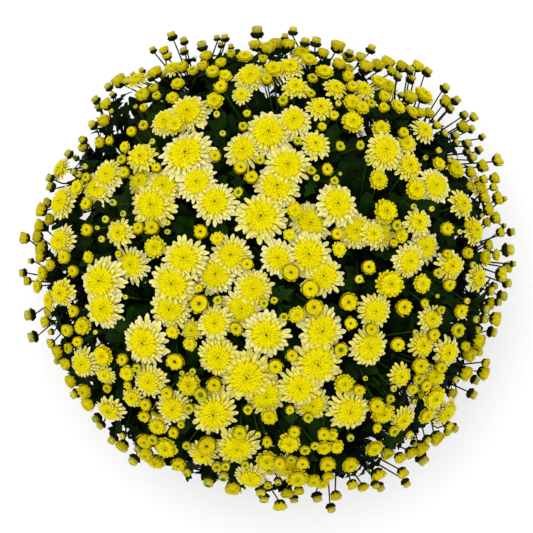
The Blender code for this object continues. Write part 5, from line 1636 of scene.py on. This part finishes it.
def grow(petals, foliage):
    """All the plant's pieces, each from its own skin, and the paths of its main stems."""
    heads = place_heads()
    groups, ties = group_blooms(heads)
    relax(heads, groups, ties)
    stems, ways = spray_plan()
    trees = spray_trees(len(stems))
    green = [Skin() for _ in stems]
    small = [Skin() for _ in stems]
    blooms = [Skin() for _ in groups]
    large = {k: skin for skin, members in zip(blooms, groups) for k in members}
    for k in range(heads.count):
        kind, radius, axis = heads.kind[k], heads.radius[k], heads.axis[k]
        back = heads.centre[k] - axis * BACK_SHARE[kind] * radius
        if k in large:
            back = back - axis * (CALYX_HEIGHT * radius + CLEARANCE)
        spray, path = find_route(heads, k, back, stems, ways, trees)
        grow_head(heads, k, large.get(k, small[spray]), green[spray], path)
    for skin, stem in zip(green, stems):
        points = rounded_path(stem, 3)
        add_tube(skin, points, np.linspace(*STEM_TAPER, len(points)), STEM_TUBE, STALK_GREEN * 0.8)
    rng = random.Random(EXTRA_SEED)
    for number, leaf in all_leaves(stems, ways, heads, trees, rng):
        add_leaf(green[number], *leaf, rng)
    for number, skin in enumerate(blooms):
        node = f"bloom_{number + 1:02d}"
        settle(make_piece(f"{node}_petals", skin, petals), node)
    for number in range(len(stems)):
        node = f"spray_{number + 1:02d}"
        # Painted shade and light on the foliage colour, by its depth in the plant
        shade_low(green[number])
        settle(make_piece(f"{node}_foliage", green[number], foliage), node)
        if small[number].count:
            settle(make_piece(f"{node}_heads", small[number], petals), node)
    return stems


def settle(piece, node):
    """Piece on its body, in place of its node."""
    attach(piece, "root")
    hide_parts(node)


def make_floor():
    """Plain pale floor that the pot stands on."""
    bpy.ops.mesh.primitive_plane_add(size=12.0, location=(0.0, 0.0, 0.0))
    floor = bpy.context.object
    floor.name = "floor"
    floor.data.materials.append(floor_material())


# Light of the white room, and the lamp over it: metres across, watts, and where it hangs and aims
ROOM_LIGHT = 0.88
LAMP_SIZE = 1.9
LAMP_POWER = 30.0
LAMP_PLACE = (-0.16, 0.26, 2.25)
LAMP_AIM = Vector((0.0, 0.0, 0.25))
SENSOR_WIDTH = 36.0


def make_light():
    """Even white room and one large soft lamp above."""
    world = bpy.data.worlds.new("room")
    bpy.context.scene.world = world
    world.use_nodes = True
    background = world.node_tree.nodes["Background"]
    background.inputs["Color"].default_value = (1.0, 1.0, 1.0, 1.0)
    background.inputs["Strength"].default_value = ROOM_LIGHT
    lamp = bpy.data.lights.new("softbox", "AREA")
    lamp.shape = "DISK"
    lamp.size = LAMP_SIZE
    lamp.energy = LAMP_POWER
    holder = bpy.data.objects.new("softbox", lamp)
    holder.location = LAMP_PLACE
    holder.rotation_euler = (LAMP_AIM - holder.location).to_track_quat("-Z", "Y").to_euler()
    bpy.context.scene.collection.objects.link(holder)


def make_camera():
    """Camera straight above the plant, far enough that one pixel is 1 mm at the widest plane."""
    camera = bpy.data.cameras.new("camera")
    camera.sensor_width = SENSOR_WIDTH
    camera.lens = SENSOR_WIDTH * EYE_HEIGHT / PHOTO_SIDE
    camera.shift_x = (0.5 * PHOTO_SIDE - PHOTO_CENTRE[0]) / PHOTO_SIDE
    camera.shift_y = (PHOTO_CENTRE[1] - 0.5 * PHOTO_SIDE) / PHOTO_SIDE
    camera.clip_end = 50.0
    holder = bpy.data.objects.new("camera", camera)
    holder.location = (0.0, 0.0, (WIDEST_Z + EYE_HEIGHT) * MM)
    bpy.context.scene.collection.objects.link(holder)
    bpy.context.scene.camera = holder


make_camera()
make_light()
make_floor()
bpy.context.scene.view_settings.view_transform = "Standard"
stem_paths = grow(petal_material(), foliage_material())
settle(make_soil(stem_paths), "soil")
settle(make_pot(), "pot")
